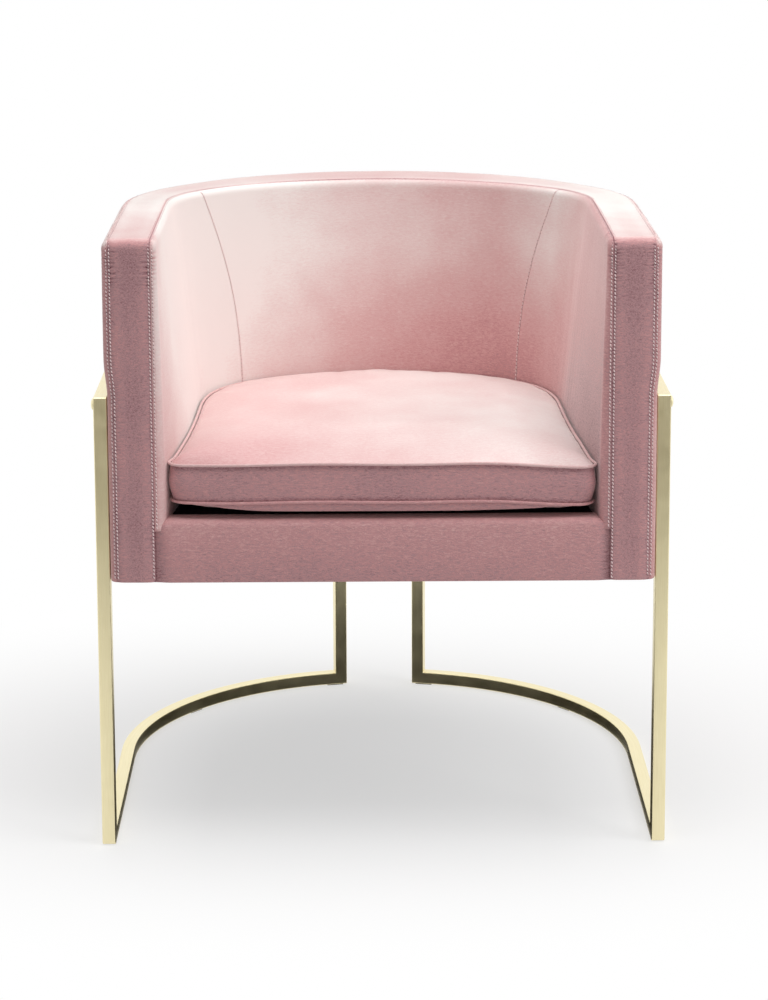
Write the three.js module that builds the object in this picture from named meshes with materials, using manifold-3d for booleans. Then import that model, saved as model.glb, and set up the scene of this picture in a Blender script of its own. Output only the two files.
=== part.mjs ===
// Tub armchair: a velvet shell held in two loops of square bar, with a loose seat cushion.
// Millimetres, +Z up, the open front towards -Y, standing on Z = 0.
import * as THREE from 'three';
import { mergeVertices } from 'three/addons/utils/BufferGeometryUtils.js';
import Module from 'manifold-3d';

// Metal frame
const frameWidth = 660;
const frameHeight = 537;
const straightLength = 296;      // from the front of the legs to where the bend starts
const barSide = 16;
const barBevel = 1;
const rearGap = 89;              // between the two rear uprights
const rearTail = 22;             // straight end of each bent bar, beside the rear upright
const mitreGap = 0.3;
const glideHeight = 1.5;
const glideWidth = 11;
const glideLength = 22;

// Screws and inserts
const screwDrop = 9;             // from the top of the band down to the screw's axis
const screwRadius = 4;
const screwLength = 39;
const screwHeadRadius = 7;
const screwHeadHeight = 2.8;
const socketRadius = 2.6;
const socketDepth = 1.8;
const screwClearance = 0.35;
const insertRadius = 6.2;
const insertLength = 13;

// Shell
const shellBottom = 321.5;
const rimHeight = 720.5;
const armOverhang = 10;          // the arm fronts stand before the legs
const bandClearance = 0.5;       // between the bars and the outside cover
const armThickness = 53;
const sideThickness = 58;
const backThickness = 86;
const sideFullness = 31;         // how much thicker the wall is at cushion height
const backFullness = 11;
const fullnessLength = 110;      // over which that fullness grows from the arm front
const outerBulge = 3.5;          // how far the cover swells above the band
const bulgeRise = 45;
const outerEdgeRadius = 9;
const innerEdgeRadius = 8;
const armCornerRadius = 15;

// Layers of the shell
const clothThickness = 1.5;
const thinCloth = 0.8;
const layerGap = 0.3;
const facetGap = 1.2;            // between curved layers whose facets lie differently
const panelThickness = 4;
const timberThickness = 22;
const postWidth = 32;
const armPadThickness = 3.6;
const rimPadThickness = 10;
const topRailHeight = 18;
const topRailPadding = 12;       // foam in front of the horseshoe rail
const baseRailHeight = 60;
const webThickness = 1.5;
const webWidth = 60;
const webInset = 6;
const seatPadEdge = 4;
const seatPadCrown = 10;
const railHeight = 394;          // top of the covered front rail
const railSetback = 2;           // the seat front lies just behind the arm fronts
const railPadThickness = 8;
const railEdgeRadius = 9;
const railRollDepth = 30;

// Cushion
const cushionSetback = 4;        // its front corners, behind the arm fronts
const cushionClearance = 2.5;
const cushionFrontGap = 11;      // the open wedge between cushion and arm at the front
const cushionTaperLength = 100;
const cushionCornerRadius = 16;
const cushionFrontSwell = 3;
const cushionBottomCrown = 13;
const cushionTopCrown = 19;
const boxingHeight = 44;
const boxingDrawIn = 2;
const boxingSetback = 0.4;      // the boxing's middle, inside the welts' outer line
const weltRadius = 2.4;
const foamEdge = 8;
const zipLength = 300;
const zipWidth = 9;
const zipThickness = 0.8;

// Shares chosen by hand, and counts
const seamTopShare = 0.69;       // of the quarter turn, where the inside seams meet the rim
const seamBottomShare = 0.54;
const seamCurve = 2.2;
const bendShares = [0, 0.1, 0.2, 0.3, 0.4, 0.5, 0.6, 0.7, 0.8, 0.9, 1];
const armShares = [0.25, 0.5, 0.75];
const wallShares = [0, 0.3, 0.6];
const outerSeamShare = 2 / 3;    // of the rounded edge's right angle, where its seam lies
const innerSeamShare = 0.22;
const foamEdgeShare = 0.75;
const cornerShares = [1, 0.75, 0.5, 0.25, 0];
const domeShares = [0.35, 0.7, 1];
const crownShares = [1, 0.9, 0.72, 0.4, 0];
const deckShares = [1, 0.8, 0.5, 0];
const crownPower = 2.6;
const backBlendShares = [1 / 9, 7 / 9];   // of the quarter turn, where the back thins to the side
const sideFullnessShare = 4 / 9;
const armColumnEndShare = 0.8;
const backColumnEndShare = 0.5;
const armLeanShares = [1 / 3, 2 / 3, 1];
const backLeanShares = [1, 1 / 2];
const cushionMiddleShare = 2 / 3;
const mergeShare = 0.01;         // of a layer's gap, within which corners are one
const roundFacets = 14;
const hexagonFacets = 6;
const weltFacets = 6;
const frontEdgeShares = [-0.8, -0.4, 0, 0.4, 0.8];
const longWebShares = [-0.42, 0, 0.42];
const crossWebShares = [0.22, 0.5, 0.78];

// Places worked out from the sizes above
const half = barSide / 2;
const quarterTurn = Math.PI / 2;
const barRadius = frameWidth / 2 - half;
const shellRadius = barRadius - half - bandClearance;
const armLength = straightLength + armOverhang;
const armFront = -armOverhang;
const armRounded = armFront + outerEdgeRadius;
const screwHeight = frameHeight - screwDrop;
const padInset = clothThickness + layerGap;
const foamInset = clothThickness + facetGap / 2;
const railBase = shellBottom + thinCloth + layerGap;
const baseRailTop = railBase + baseRailHeight;
const panelRadius = shellRadius - padInset;
const timberRadius = panelRadius - panelThickness - layerGap;
const foamBackRadius = timberRadius - timberThickness - layerGap;
const topRailTop = rimHeight - padInset - rimPadThickness - layerGap;
const topRailBottom = topRailTop - topRailHeight;
const postFront = armFront + padInset + armPadThickness + layerGap;
const longWebBottom = baseRailTop + layerGap;
const crossWebBottom = longWebBottom + webThickness + layerGap;
const seatPadBottom = crossWebBottom + webThickness + layerGap;
const deckBottom = seatPadBottom + seatPadEdge + layerGap;
const cushionBottom = deckBottom + seatPadCrown + thinCloth + layerGap;
const bottomWelt = cushionBottom + cushionBottomCrown;
const topWelt = bottomWelt + boxingHeight;
const railFront = armFront + railSetback;
const railTimberFront = railFront + padInset + railPadThickness + layerGap;
const railBack = railTimberFront + timberThickness;

const wasm = await Module();
wasm.setup();

const chair = new THREE.Group();
const sides = [[-1, 'left'], [1, 'right']];

const finishes = {
  brass: { color: 0xcdbf92, roughness: 0.35, metalness: 1 },
  steel: { color: 0xa8a8a4, roughness: 0.4, metalness: 1 },
  glide: { color: 0x1b1a19, roughness: 0.7, metalness: 0 },
  timber: { color: 0xc9a273, roughness: 0.7, metalness: 0 },
  plywood: { color: 0xd3b184, roughness: 0.7, metalness: 0 },
  foam: { color: 0xe9e0b8, roughness: 0.9, metalness: 0 },
  velvet: { color: 0xd9a9ac, roughness: 0.85, metalness: 0 },
  darkCloth: { color: 0x1c191a, roughness: 0.95, metalness: 0 },
  webbing: { color: 0x3a332d, roughness: 0.9, metalness: 0 },
};

function addPiece(name, finish, geometry) {
  const mesh = new THREE.Mesh(geometry, new THREE.MeshStandardMaterial(finishes[finish]));
  mesh.name = name;
  chair.add(mesh);
}

const mix = THREE.MathUtils.lerp;
const ease = THREE.MathUtils.smoothstep;

// Plan of the chair. Turn 0 is the middle of the back, -1 and 1 are where the bend meets the
// arms, and past them the plan runs straight forward, to the arm fronts at -2 and 2.
function at(turn, radius, z) {
  const angle = THREE.MathUtils.clamp(turn, -1, 1) * quarterTurn;
  const y = straightLength - straightShare(turn) * armLength + radius * Math.cos(angle);
  return new THREE.Vector3(radius * Math.sin(angle), y, z);
}

function straightShare(turn) {
  return Math.max(Math.abs(turn) - 1, 0);
}

// The turn at which the straight arm lies at a given y
function turnAt(y) {
  return 1 + (straightLength - y) / armLength;
}

// Turns from one end to the other, with the steps of the bend and of the arms between
function turnsBetween(first, last) {
  const quarter = [...bendShares, ...armShares.map((share) => 1 + share)];
  const steps = [...quarter.slice(1).map((step) => -step).reverse(), ...quarter];
  const spare = bendShares[1] / 3;
  return [first, ...steps.filter((step) => step > first + spare && step < last - spare), last];
}

// Wall thickness at the rim, its extra fullness below, and the radius of each face
function rimThickness(turn) {
  const arm = mix(sideThickness, armThickness, straightShare(turn));
  return mix(backThickness, arm, ease(Math.abs(turn), ...backBlendShares));
}

function fullness(turn) {
  const whole = mix(backFullness, sideFullness, ease(Math.abs(turn), sideFullnessShare, 1));
  return whole * (1 - ease(straightShare(turn) * armLength, armLength - fullnessLength, armLength));
}

function innerWall(turn, z) {
  const rise = THREE.MathUtils.clamp((z - topWelt) / (rimHeight - topWelt), 0, 1);
  return shellRadius - rimThickness(turn) - fullness(turn) * (1 - rise);
}

function outerWall(turn, z) {
  return shellRadius + outerBulge * ease(z, frameHeight, frameHeight + bulgeRise);
}

// How far round the quarter turn the inside seams lie at a height
function seamTurn(z) {
  const rise = THREE.MathUtils.clamp((z - topWelt) / (rimHeight - topWelt), 0, 1);
  return mix(seamBottomShare, seamTopShare, rise ** seamCurve);
}

// A closed mesh with its faces out: corners merged, flat triangles dropped
function closed(geometry) {
  const plain = new THREE.BufferGeometry();
  plain.setAttribute('position', geometry.getAttribute('position'));
  plain.setIndex(geometry.getIndex());
  const merged = mergeVertices(plain, layerGap * mergeShare);
  const index = merged.getIndex().array;
  const corner = (i) => new THREE.Vector3().fromBufferAttribute(merged.getAttribute('position'), i);
  const kept = [];
  let volume = 0;
  for (let i = 0; i < index.length; i += 3) {
    const [a, b, c] = index.slice(i, i + 3);
    if (a === b || b === c || c === a) continue;
    kept.push([a, b, c]);
    volume += corner(a).dot(corner(b).cross(corner(c)));
  }
  merged.setIndex(kept.map(([a, b, c]) => (volume < 0 ? [a, c, b] : [a, b, c])).flat());
  return merged;
}

function meshOf(points, faces) {
  const geometry = new THREE.BufferGeometry();
  const numbers = points.flatMap((point) => point.toArray());
  geometry.setAttribute('position', new THREE.Float32BufferAttribute(numbers, 3));
  geometry.setIndex(faces.flat());
  return closed(geometry);
}

// A body between two surfaces of one grid: near(u, v) on one side and far(u, v) on the other
function slab(us, vs, near, far) {
  const points = [near, far].flatMap((face) => us.flatMap((u) => vs.map((v) => face(u, v))));
  const id = (side, i, j) => (side * us.length + i) * vs.length + j;
  const faces = [];
  const quad = (a, b, c, d) => faces.push([a, b, c], [a, c, d]);
  const lastU = us.length - 1;
  const lastV = vs.length - 1;
  for (let i = 0; i < lastU; i++) {
    for (let j = 0; j < lastV; j++) {
      quad(id(0, i, j), id(0, i + 1, j), id(0, i + 1, j + 1), id(0, i, j + 1));
      quad(id(1, i, j), id(1, i, j + 1), id(1, i + 1, j + 1), id(1, i + 1, j));
    }
    quad(id(0, i, 0), id(1, i, 0), id(1, i + 1, 0), id(0, i + 1, 0));
    quad(id(0, i, lastV), id(0, i + 1, lastV), id(1, i + 1, lastV), id(1, i, lastV));
  }
  for (let j = 0; j < lastV; j++) {
    quad(id(0, 0, j), id(0, 0, j + 1), id(1, 0, j + 1), id(1, 0, j));
    quad(id(0, lastU, j), id(1, lastU, j), id(1, lastU, j + 1), id(0, lastU, j + 1));
  }
  return meshOf(points, faces);
}

// Rings of equal length joined one to the next; the last joins the first, or both are capped
function loft(rings, endless = false) {
  const count = rings[0].length;
  const points = rings.flat();
  const faces = [];
  for (let i = 0; i < rings.length - (endless ? 0 : 1); i++) {
    const next = (i + 1) % rings.length;
    for (let j = 0; j < count; j++) {
      const k = (j + 1) % count;
      const [a, b, c, d] = [i * count + j, i * count + k, next * count + k, next * count + j];
      faces.push([a, b, c], [a, c, d]);
    }
  }
  const caps = endless ? [] : [0, rings.length - 1];
  for (const ring of caps) {
    const middle = new THREE.Vector3();
    rings[ring].forEach((point) => middle.addScaledVector(point, 1 / count));
    points.push(middle);
    for (let j = 0; j < count; j++) {
      const [a, b] = [ring * count + j, ring * count + (j + 1) % count];
      faces.push(ring === 0 ? [points.length - 1, b, a] : [points.length - 1, a, b]);
    }
  }
  return meshOf(points, faces);
}

// A box with its corners at two points
function block(low, high) {
  const size = new THREE.Vector3().subVectors(high, low);
  const middle = new THREE.Vector3().addVectors(low, high).multiplyScalar(1 / 2);
  const geometry = new THREE.BoxGeometry(size.x, size.y, size.z);
  return closed(geometry.translate(middle.x, middle.y, middle.z));
}

// A shape turned about an axis through a point, from a profile of [radius, distance along it]
function turned(profile, origin, axis, facets = roundFacets) {
  const points = profile.map(([radius, distance]) => new THREE.Vector2(radius, distance));
  const geometry = new THREE.LatheGeometry(points, facets);
  const swing = new THREE.Quaternion().setFromUnitVectors(new THREE.Vector3(0, 1, 0), axis);
  geometry.applyQuaternion(swing).translate(origin.x, origin.y, origin.z);
  return closed(geometry);
}

// Cutting one geometry out of another
function manifoldOf(geometry) {
  return new wasm.Manifold(new wasm.Mesh({
    numProp: 3,
    vertProperties: new Float32Array(geometry.getAttribute('position').array),
    triVerts: new Uint32Array(geometry.getIndex().array),
  }));
}

function cut(geometry, tools) {
  let shape = manifoldOf(geometry);
  for (const tool of tools) shape = shape.subtract(manifoldOf(tool));
  const mesh = shape.getMesh();
  const result = new THREE.BufferGeometry();
  result.setAttribute('position', new THREE.BufferAttribute(mesh.vertProperties, 3));
  result.setIndex(new THREE.BufferAttribute(mesh.triVerts, 1));
  return result;
}

// Section of the square bar with its bevelled edges, as offsets from the bar's centre
const flat = half - barBevel;
const barSection = [
  [half, -flat], [half, flat], [flat, half], [-flat, half],
  [-half, flat], [-half, -flat], [-flat, -half], [flat, -half],
];
const mitreEase = mitreGap / 2 * Math.SQRT2;

// The bent bars end in a short straight tail beside the rear upright
const tailAngle = Math.asin((rearGap / 2 + rearTail) / barRadius);
const tailTurn = tailAngle / quarterTurn;
const tailReach = (barRadius * Math.sin(tailAngle) - rearGap / 2 - half * Math.sin(tailAngle))
  / Math.cos(tailAngle);

function tailPoint(side, reach, across, z) {
  const point = at(tailTurn, barRadius + across, z);
  point.x -= reach * Math.cos(tailAngle);
  point.y += reach * Math.sin(tailAngle);
  point.x *= side;
  return point;
}

// A bent bar at a height; rise is 1 where its mitres meet uprights from above, else -1
function bentBar(side, middle, rise) {
  const ring = (place) => barSection.map(([across, up]) => place(across, up));
  const mitre = (up) => half - rise * up + mitreEase;
  const onPlan = (turn) => (across, up) => at(side * turn, barRadius + across, middle + up);
  const bends = turnsBetween(tailTurn, turnAt(2 * barSide)).reverse();
  return loft([
    ring((across, up) => onPlan(turnAt(mitre(up)))(across, up)),
    ...bends.map((turn) => ring(onPlan(turn))),
    ring((across, up) => tailPoint(side, tailReach - mitre(up), across, middle + up)),
  ]);
}

// An upright bar between its mitres; place(depth, across, z) puts a corner on the plan
function upright(place) {
  const ring = (level) => barSection.map(([across, depth]) => place(depth + half, across, level(depth)));
  return loft([
    ring((depth) => glideHeight + half + depth + mitreEase),
    ring((depth) => frameHeight - half - depth - mitreEase),
  ]);
}

// The hole for a screw, or for its insert, from before the bar's outer face inwards
function hole(fixing, radius, length) {
  const profile = [[0, -barSide], [radius, -barSide], [radius, length], [0, length]];
  return turned(profile, fixing.origin, fixing.inward);
}

function screw({ origin, inward }) {
  const seat = -layerGap;
  const top = seat - screwHeadHeight;
  const dome = domeShares.map((share) => [
    screwHeadRadius * Math.sin(share * quarterTurn),
    seat - screwHeadHeight * Math.cos(share * quarterTurn),
  ]);
  const profile = [[0, top], ...dome, [screwRadius, seat], [screwRadius, screwLength], [0, screwLength]];
  const socket = [[0, top - socketDepth], [socketRadius, top - socketDepth],
    [socketRadius, top + socketDepth], [0, top + socketDepth]];
  return cut(turned(profile, origin, inward), [turned(socket, origin, inward, hexagonFacets)]);
}

function insert({ origin, inward }) {
  const bore = screwRadius + screwClearance;
  const start = screwLength - insertLength;
  const end = screwLength - layerGap;
  const ring = [[bore, start], [insertRadius, start], [insertRadius, end], [bore, end], [bore, start]];
  return turned(ring, origin, inward);
}

function glide(place) {
  const lengths = [-glideLength / 2, glideLength / 2];
  const widths = [-glideWidth / 2, glideWidth / 2];
  const level = (z) => (reach, across) => place(reach, across, z);
  return slab(lengths, widths, level(glideHeight - layerGap), level(0));
}

function fixingsOf(side) {
  const front = new THREE.Vector3(side * frameWidth / 2, half, screwHeight);
  const rear = tailPoint(side, tailReach - half, half, screwHeight);
  const rearInward = new THREE.Vector3(-side * Math.sin(tailAngle), -Math.cos(tailAngle), 0);
  return {
    front: { origin: front, inward: new THREE.Vector3(-side, 0, 0) },
    rear: { origin: rear, inward: rearInward },
  };
}

function metalFrame(side, name) {
  const { front, rear } = fixingsOf(side);
  const [frontHole, rearHole] = [front, rear].map((fixing) => (
    hole(fixing, screwRadius + screwClearance, 2 * barSide)));
  const leg = (depth, across, z) => new THREE.Vector3(side * (barRadius + across), depth, z);
  const post = (depth, across, z) => tailPoint(side, tailReach - depth, across, z);
  addPiece(`front_leg_${name}`, 'brass', cut(upright(leg), [frontHole]));
  addPiece(`rear_upright_${name}`, 'brass', cut(upright(post), [rearHole]));
  const band = bentBar(side, frameHeight - half, 1);
  addPiece(`top_band_${name}`, 'brass', cut(band, [frontHole, rearHole]));
  addPiece(`floor_bar_${name}`, 'brass', bentBar(side, glideHeight + half, -1));
  for (const [end, fixing] of Object.entries({ front, rear })) {
    addPiece(`${end}_screw_${name}`, 'brass', screw(fixing));
    addPiece(`${end}_insert_${name}`, 'steel', insert(fixing));
  }
  const middleTurn = side * (tailTurn + 1) / 2;
  const middleStep = 1 / (barRadius * quarterTurn);
  addPiece(`glide_front_${name}`, 'glide', glide((reach, across, z) => (
    new THREE.Vector3(side * (barRadius + across), barSide + reach, z))));
  addPiece(`glide_middle_${name}`, 'glide', glide((reach, across, z) => (
    at(middleTurn + reach * middleStep, barRadius + across, z))));
  addPiece(`glide_rear_${name}`, 'glide', glide((reach, across, z) => (
    tailPoint(side, tailReach - barSide + reach, across, z))));
}

// The shell's faces. Each turns into a rounded edge that ends at a seam on the border strip.
const outside = { facing: 1, wall: outerWall, edge: outerEdgeRadius, seam: outerSeamShare };
const inside = { facing: -1, wall: innerWall, edge: innerEdgeRadius, seam: innerSeamShare };

// A point of the rounded edge: how far in from the wall it lies, and how far below the top
function roundedEdge(face, share, inset) {
  const radius = face.edge - inset;
  const angle = share * quarterTurn;
  return [face.edge - radius * Math.cos(angle), face.edge - radius * Math.sin(angle)];
}

// A point of the border's sweep: up the arm front, round the corner and along the rim
function borderPoint(side, place, radius, drop) {
  if (place.turn !== undefined) return at(side * place.turn, radius, rimHeight - drop);
  const x = side * radius;
  if (place.z !== undefined) return new THREE.Vector3(x, armFront + drop, place.z);
  const reach = armCornerRadius - drop;
  const angle = place.corner * quarterTurn;
  return new THREE.Vector3(x, armFront + armCornerRadius - reach * Math.sin(angle),
    rimHeight - armCornerRadius + reach * Math.cos(angle));
}

// A point of a face. Columns are turns, or shares of the upright rounded edge at the arm
// front; rows are heights, or shares of the level rounded edge at the rim.
function facePoint(face, column, row, inset) {
  const side = column.side;
  const turnOf = (z) => side * (column.turn ?? column.turnAtHeight(z));
  const fromWall = (turn, z, into) => face.wall(turn, z) - face.facing * into;
  if (column.edge === undefined) {
    if (row.edge === undefined) {
      return at(turnOf(row.z), fromWall(turnOf(row.z), row.z, inset), row.z);
    }
    const [into, drop] = roundedEdge(face, row.edge, inset);
    const turn = turnOf(rimHeight);
    return at(turn, fromWall(turn, rimHeight, into), rimHeight - drop);
  }
  if (row.edge === undefined) {
    const [into, drop] = roundedEdge(face, column.edge, inset);
    const z = Math.min(row.z, rimHeight - armCornerRadius);
    return borderPoint(side, { z }, fromWall(2, z, into), drop);
  }
  const [into, drop] = roundedEdge(face, Math.max(column.edge, row.edge), inset);
  let corner = 1 / 2;
  if (column.edge > row.edge) corner = 1 - row.edge / column.edge / 2;
  if (row.edge > column.edge) corner = column.edge / row.edge / 2;
  return borderPoint(side, { corner }, fromWall(2, rimHeight, into), drop);
}

function sheet(columns, rows, face, thickness) {
  return slab(columns, rows,
    (column, row) => facePoint(face, column, row, 0),
    (column, row) => facePoint(face, column, row, thickness));
}

const edgesOf = (face) => [face.seam, face.seam / 2, 0];
const frontColumns = (face, side) => edgesOf(face).map((edge) => ({ side, edge }));
const rimRows = (face) => edgesOf(face).map((edge) => ({ edge })).reverse();

function outsideCover(screwHoles) {
  const turns = turnsBetween(-1 - armShares.at(-1), 1 + armShares.at(-1));
  const columns = [
    ...frontColumns(outside, -1),
    ...turns.map((turn) => ({ side: 1, turn })),
    ...frontColumns(outside, 1).reverse(),
  ];
  const heights = [shellBottom, frameHeight, frameHeight + bulgeRise / 2, frameHeight + bulgeRise];
  const rows = [...heights.map((z) => ({ z })), ...rimRows(outside)];
  return cut(sheet(columns, rows, outside, clothThickness), screwHoles);
}

// Rows of the inside face, from above the seat to the seam under the rim
const stepHeight = topRailBottom - layerGap;
const insideHeights = [
  railHeight + layerGap,
  ...wallShares.map((share) => mix(topWelt, rimHeight, share)),
  stepHeight,
  topRailTop,
];
const insideRows = [...insideHeights.map((z) => ({ z })), ...rimRows(inside)];

// Columns of the inside face: fixed turns, then turns that lean over to the seam
const seamEase = layerGap / shellRadius / quarterTurn;

function armColumns(side) {
  const first = turnAt(armFront + 2 * armCornerRadius);
  const straight = turnsBetween(armColumnEndShare, first).reverse().map((turn) => ({ side, turn }));
  const leaning = armLeanShares.map((share) => ({
    side,
    turnAtHeight: (z) => mix(armColumnEndShare, seamTurn(z) + seamEase, share),
  }));
  return [...straight, ...leaning];
}

function backColumns() {
  const leaning = (side) => backLeanShares.map((share) => ({
    side,
    turnAtHeight: (z) => mix(backColumnEndShare, seamTurn(z), share),
  }));
  const turns = turnsBetween(-backColumnEndShare, backColumnEndShare).map((turn) => ({ side: 1, turn }));
  return [...leaning(-1), ...turns, ...leaning(1).reverse()];
}

function insideArmCover(side) {
  const columns = [...frontColumns(inside, side), ...armColumns(side)];
  return sheet(columns, insideRows, inside, clothThickness);
}

function insideBackCover() {
  return sheet(backColumns(), insideRows, inside, clothThickness);
}

// Stations of the border: heights of the arm front, its corner, then turns along the rim
function borderStations() {
  const heights = [shellBottom, frameHeight, frameHeight + bulgeRise / 2, frameHeight + bulgeRise];
  const oneSide = (side) => [
    ...heights.map((z) => ({ side, place: { z } })),
    ...cornerShares.map((corner) => ({ side, place: { corner } })),
  ];
  const turns = turnsBetween(-1 - armShares.at(-1), 1 + armShares.at(-1));
  const rim = turns.map((turn) => ({ side: 1, place: { turn } }));
  return [...oneSide(-1), ...rim, ...oneSide(1).reverse()];
}

// Points across the border, as radius and drop, between two shares of its rounded edges
function borderSection({ side, place }, outerShare, innerShare, inset) {
  const turn = place.turn ?? side * 2;
  const z = place.z ?? rimHeight;
  const onEdge = (face, share) => {
    const [into, drop] = roundedEdge(face, share, inset);
    return [face.wall(turn, z) - face.facing * into, drop];
  };
  return [
    ...[outerShare, (outerShare + 1) / 2, 1].map((share) => onEdge(outside, share)),
    ...[1, (innerShare + 1) / 2, innerShare].map((share) => onEdge(inside, share)),
  ];
}

const sectionIndex = [0, 1, 2, 3, 4, 5];

function borderStrip() {
  const apart = 2 * layerGap / outerEdgeRadius / quarterTurn;
  const surface = (inset) => (station, index) => {
    const section = borderSection(station, outside.seam + apart, inside.seam + apart, inset);
    return borderPoint(station.side, station.place, ...section[index]);
  };
  return slab(borderStations(), sectionIndex, surface(0), surface(clothThickness));
}

function borderFoam() {
  const depth = ({ place }) => {
    const rimShare = place.turn !== undefined ? 1 : 1 - (place.corner ?? 1);
    return padInset + mix(armPadThickness, rimPadThickness, rimShare);
  };
  const near = (station, index) => {
    const section = borderSection(station, foamEdgeShare, foamEdgeShare, padInset);
    return borderPoint(station.side, station.place, ...section[index]);
  };
  const far = (station, index) => {
    const section = borderSection(station, foamEdgeShare, foamEdgeShare, padInset);
    return borderPoint(station.side, station.place, section[index][0], depth(station));
  };
  return slab(borderStations(), sectionIndex, near, far);
}

// The height that the layers under the border reach, lower beside the arm's rounded corner
function underBorder(turn) {
  return Math.abs(turn) > turnAt(armFront + armCornerRadius) ? rimHeight - armCornerRadius : topRailTop;
}

function railInner(turn) {
  return shellRadius - rimThickness(turn) + topRailPadding;
}

// Foam behind the inside covers. Its back steps forward over the horseshoe rail.
function insideFoam(columns) {
  const overRail = { z: stepHeight, overRail: true };
  const below = insideHeights.slice(0, -1).map((z) => ({ z }));
  const rows = [...below, overRail, { z: topRailTop, overRail: true }];
  const level = (column, row) => {
    if (column.front && row.z === topRailTop) return rimHeight - armCornerRadius;
    return row.z;
  };
  const turnOf = (column, z) => column.side * (column.turn ?? column.turnAtHeight(z));
  const near = (column, row) => {
    const z = row === overRail ? (stepHeight + topRailTop) / 2 : level(column, row);
    const turn = turnOf(column, z);
    return at(turn, innerWall(turn, z) + foamInset, z);
  };
  const far = (column, row) => {
    const z = level(column, row);
    const turn = turnOf(column, z);
    return at(turn, row.overRail ? railInner(turn) - facetGap : foamBackRadius, z);
  };
  return slab(columns, rows, near, far);
}

function insideArmFoam(side) {
  const front = { side, turn: turnAt(armRounded), front: true };
  return insideFoam([front, ...armColumns(side)]);
}

function insideBackFoam() {
  return insideFoam(backColumns());
}

// A curved timber between two radii, two heights and two turns
function curved(turns, outerRadius, innerRadius, bottom, top) {
  const radiusAt = (radius, turn) => (typeof radius === 'function' ? radius(turn) : radius);
  const levels = [bottom, top];
  return slab(turns, levels,
    (turn, z) => at(turn, radiusAt(outerRadius, turn), z),
    (turn, z) => at(turn, radiusAt(innerRadius, turn), z));
}

function outerPanel(screwHoles) {
  const front = turnAt(armRounded);
  const corner = turnAt(armFront + armCornerRadius);
  const turns = [-front, ...turnsBetween(-corner, corner), front];
  const levels = [() => railBase, (turn) => underBorder(turn)];
  const shape = slab(turns, levels,
    (turn, level) => at(turn, panelRadius, level(turn)),
    (turn, level) => at(turn, panelRadius - panelThickness, level(turn)));
  return cut(shape, screwHoles);
}

function post(middleTurn, bottom) {
  const halfTurn = postWidth / 2 / (timberRadius * quarterTurn);
  const turns = [middleTurn - halfTurn, middleTurn, middleTurn + halfTurn];
  return curved(turns, timberRadius - facetGap, foamBackRadius + layerGap, bottom, stepHeight);
}

function timberFrame() {
  const ringFront = turnAt(postFront + postWidth + layerGap);
  const railFrontTurn = turnAt(armFront + armCornerRadius);
  addPiece('base_ring', 'timber', curved(turnsBetween(-ringFront, ringFront), timberRadius,
    foamBackRadius + layerGap, railBase, baseRailTop));
  addPiece('top_rail', 'plywood', curved(turnsBetween(-railFrontTurn, railFrontTurn), timberRadius,
    railInner, topRailBottom, topRailTop));
  const railEnd = foamBackRadius;
  addPiece('front_rail', 'timber', block(new THREE.Vector3(-railEnd, railTimberFront, railBase),
    new THREE.Vector3(railEnd, railBack, baseRailTop)));
  const rearTurn = (tailAngle - (tailReach - half) / barRadius) / quarterTurn;
  for (const [side, name] of sides) {
    const { front, rear } = fixingsOf(side);
    const insertHole = (fixing) => hole(fixing, insertRadius + layerGap, 2 * screwLength);
    const low = new THREE.Vector3(foamBackRadius + layerGap, postFront, railBase);
    const high = new THREE.Vector3(timberRadius, postFront + postWidth, topRailBottom - layerGap);
    const armPost = block(
      new THREE.Vector3(side > 0 ? low.x : -high.x, low.y, low.z),
      new THREE.Vector3(side > 0 ? high.x : -low.x, high.y, high.z));
    addPiece(`arm_post_${name}`, 'timber', cut(armPost, [insertHole(front)]));
    addPiece(`side_post_${name}`, 'timber', post(side, baseRailTop + layerGap));
    const backPost = post(side * rearTurn, baseRailTop + layerGap);
    addPiece(`back_post_${name}`, 'timber', cut(backPost, [insertHole(rear)]));
  }
}

function webbing() {
  const reach = timberRadius - webInset;
  const places = ['left', 'middle', 'right'];
  longWebShares.forEach((share, i) => {
    const x = share * reach;
    const outer = Math.abs(x) + webWidth / 2;
    const back = straightLength + Math.sqrt(reach ** 2 - outer ** 2);
    addPiece(`webbing_long_${places[i]}`, 'webbing', block(
      new THREE.Vector3(x - webWidth / 2, railTimberFront + webInset, longWebBottom),
      new THREE.Vector3(x + webWidth / 2, back, longWebBottom + webThickness)));
  });
  const rows = ['front', 'middle', 'rear'];
  crossWebShares.forEach((share, i) => {
    const y = share * straightLength;
    addPiece(`webbing_cross_${rows[i]}`, 'webbing', block(
      new THREE.Vector3(-reach, y - webWidth / 2, crossWebBottom),
      new THREE.Vector3(reach, y + webWidth / 2, crossWebBottom + webThickness)));
  });
}

// A ring on the seat's plan: the inner wall less a clearance, closed across the front
function seatRing(clearance, front, share, z) {
  const reach = turnAt(front);
  const turns = turnsBetween(-reach, reach);
  const middle = new THREE.Vector3(0, (straightLength + front) / 2, z);
  return turns.map((turn) => {
    const point = at(turn, innerWall(turn, seatPadBottom) - clearance, z);
    return point.lerp(middle, 1 - share).setZ(z);
  });
}

function seatDeck() {
  const front = railFront + railRollDepth + layerGap;
  const crownAt = (share) => seatPadCrown * (1 - share ** crownPower);
  const ring = (base) => (share) => seatRing(layerGap, front, share, base + crownAt(share));
  const padTop = deckShares.map(ring(seatPadBottom + seatPadEdge));
  const padFoot = seatRing(layerGap, front, 1, seatPadBottom);
  addPiece('seat_pad', 'foam', loft([padFoot, ...padTop]));
  const lower = deckShares.map(ring(deckBottom));
  const upper = deckShares.map(ring(deckBottom + thinCloth));
  addPiece('deck_cloth', 'darkCloth', loft([...upper, ...lower.reverse()], true));
}

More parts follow.
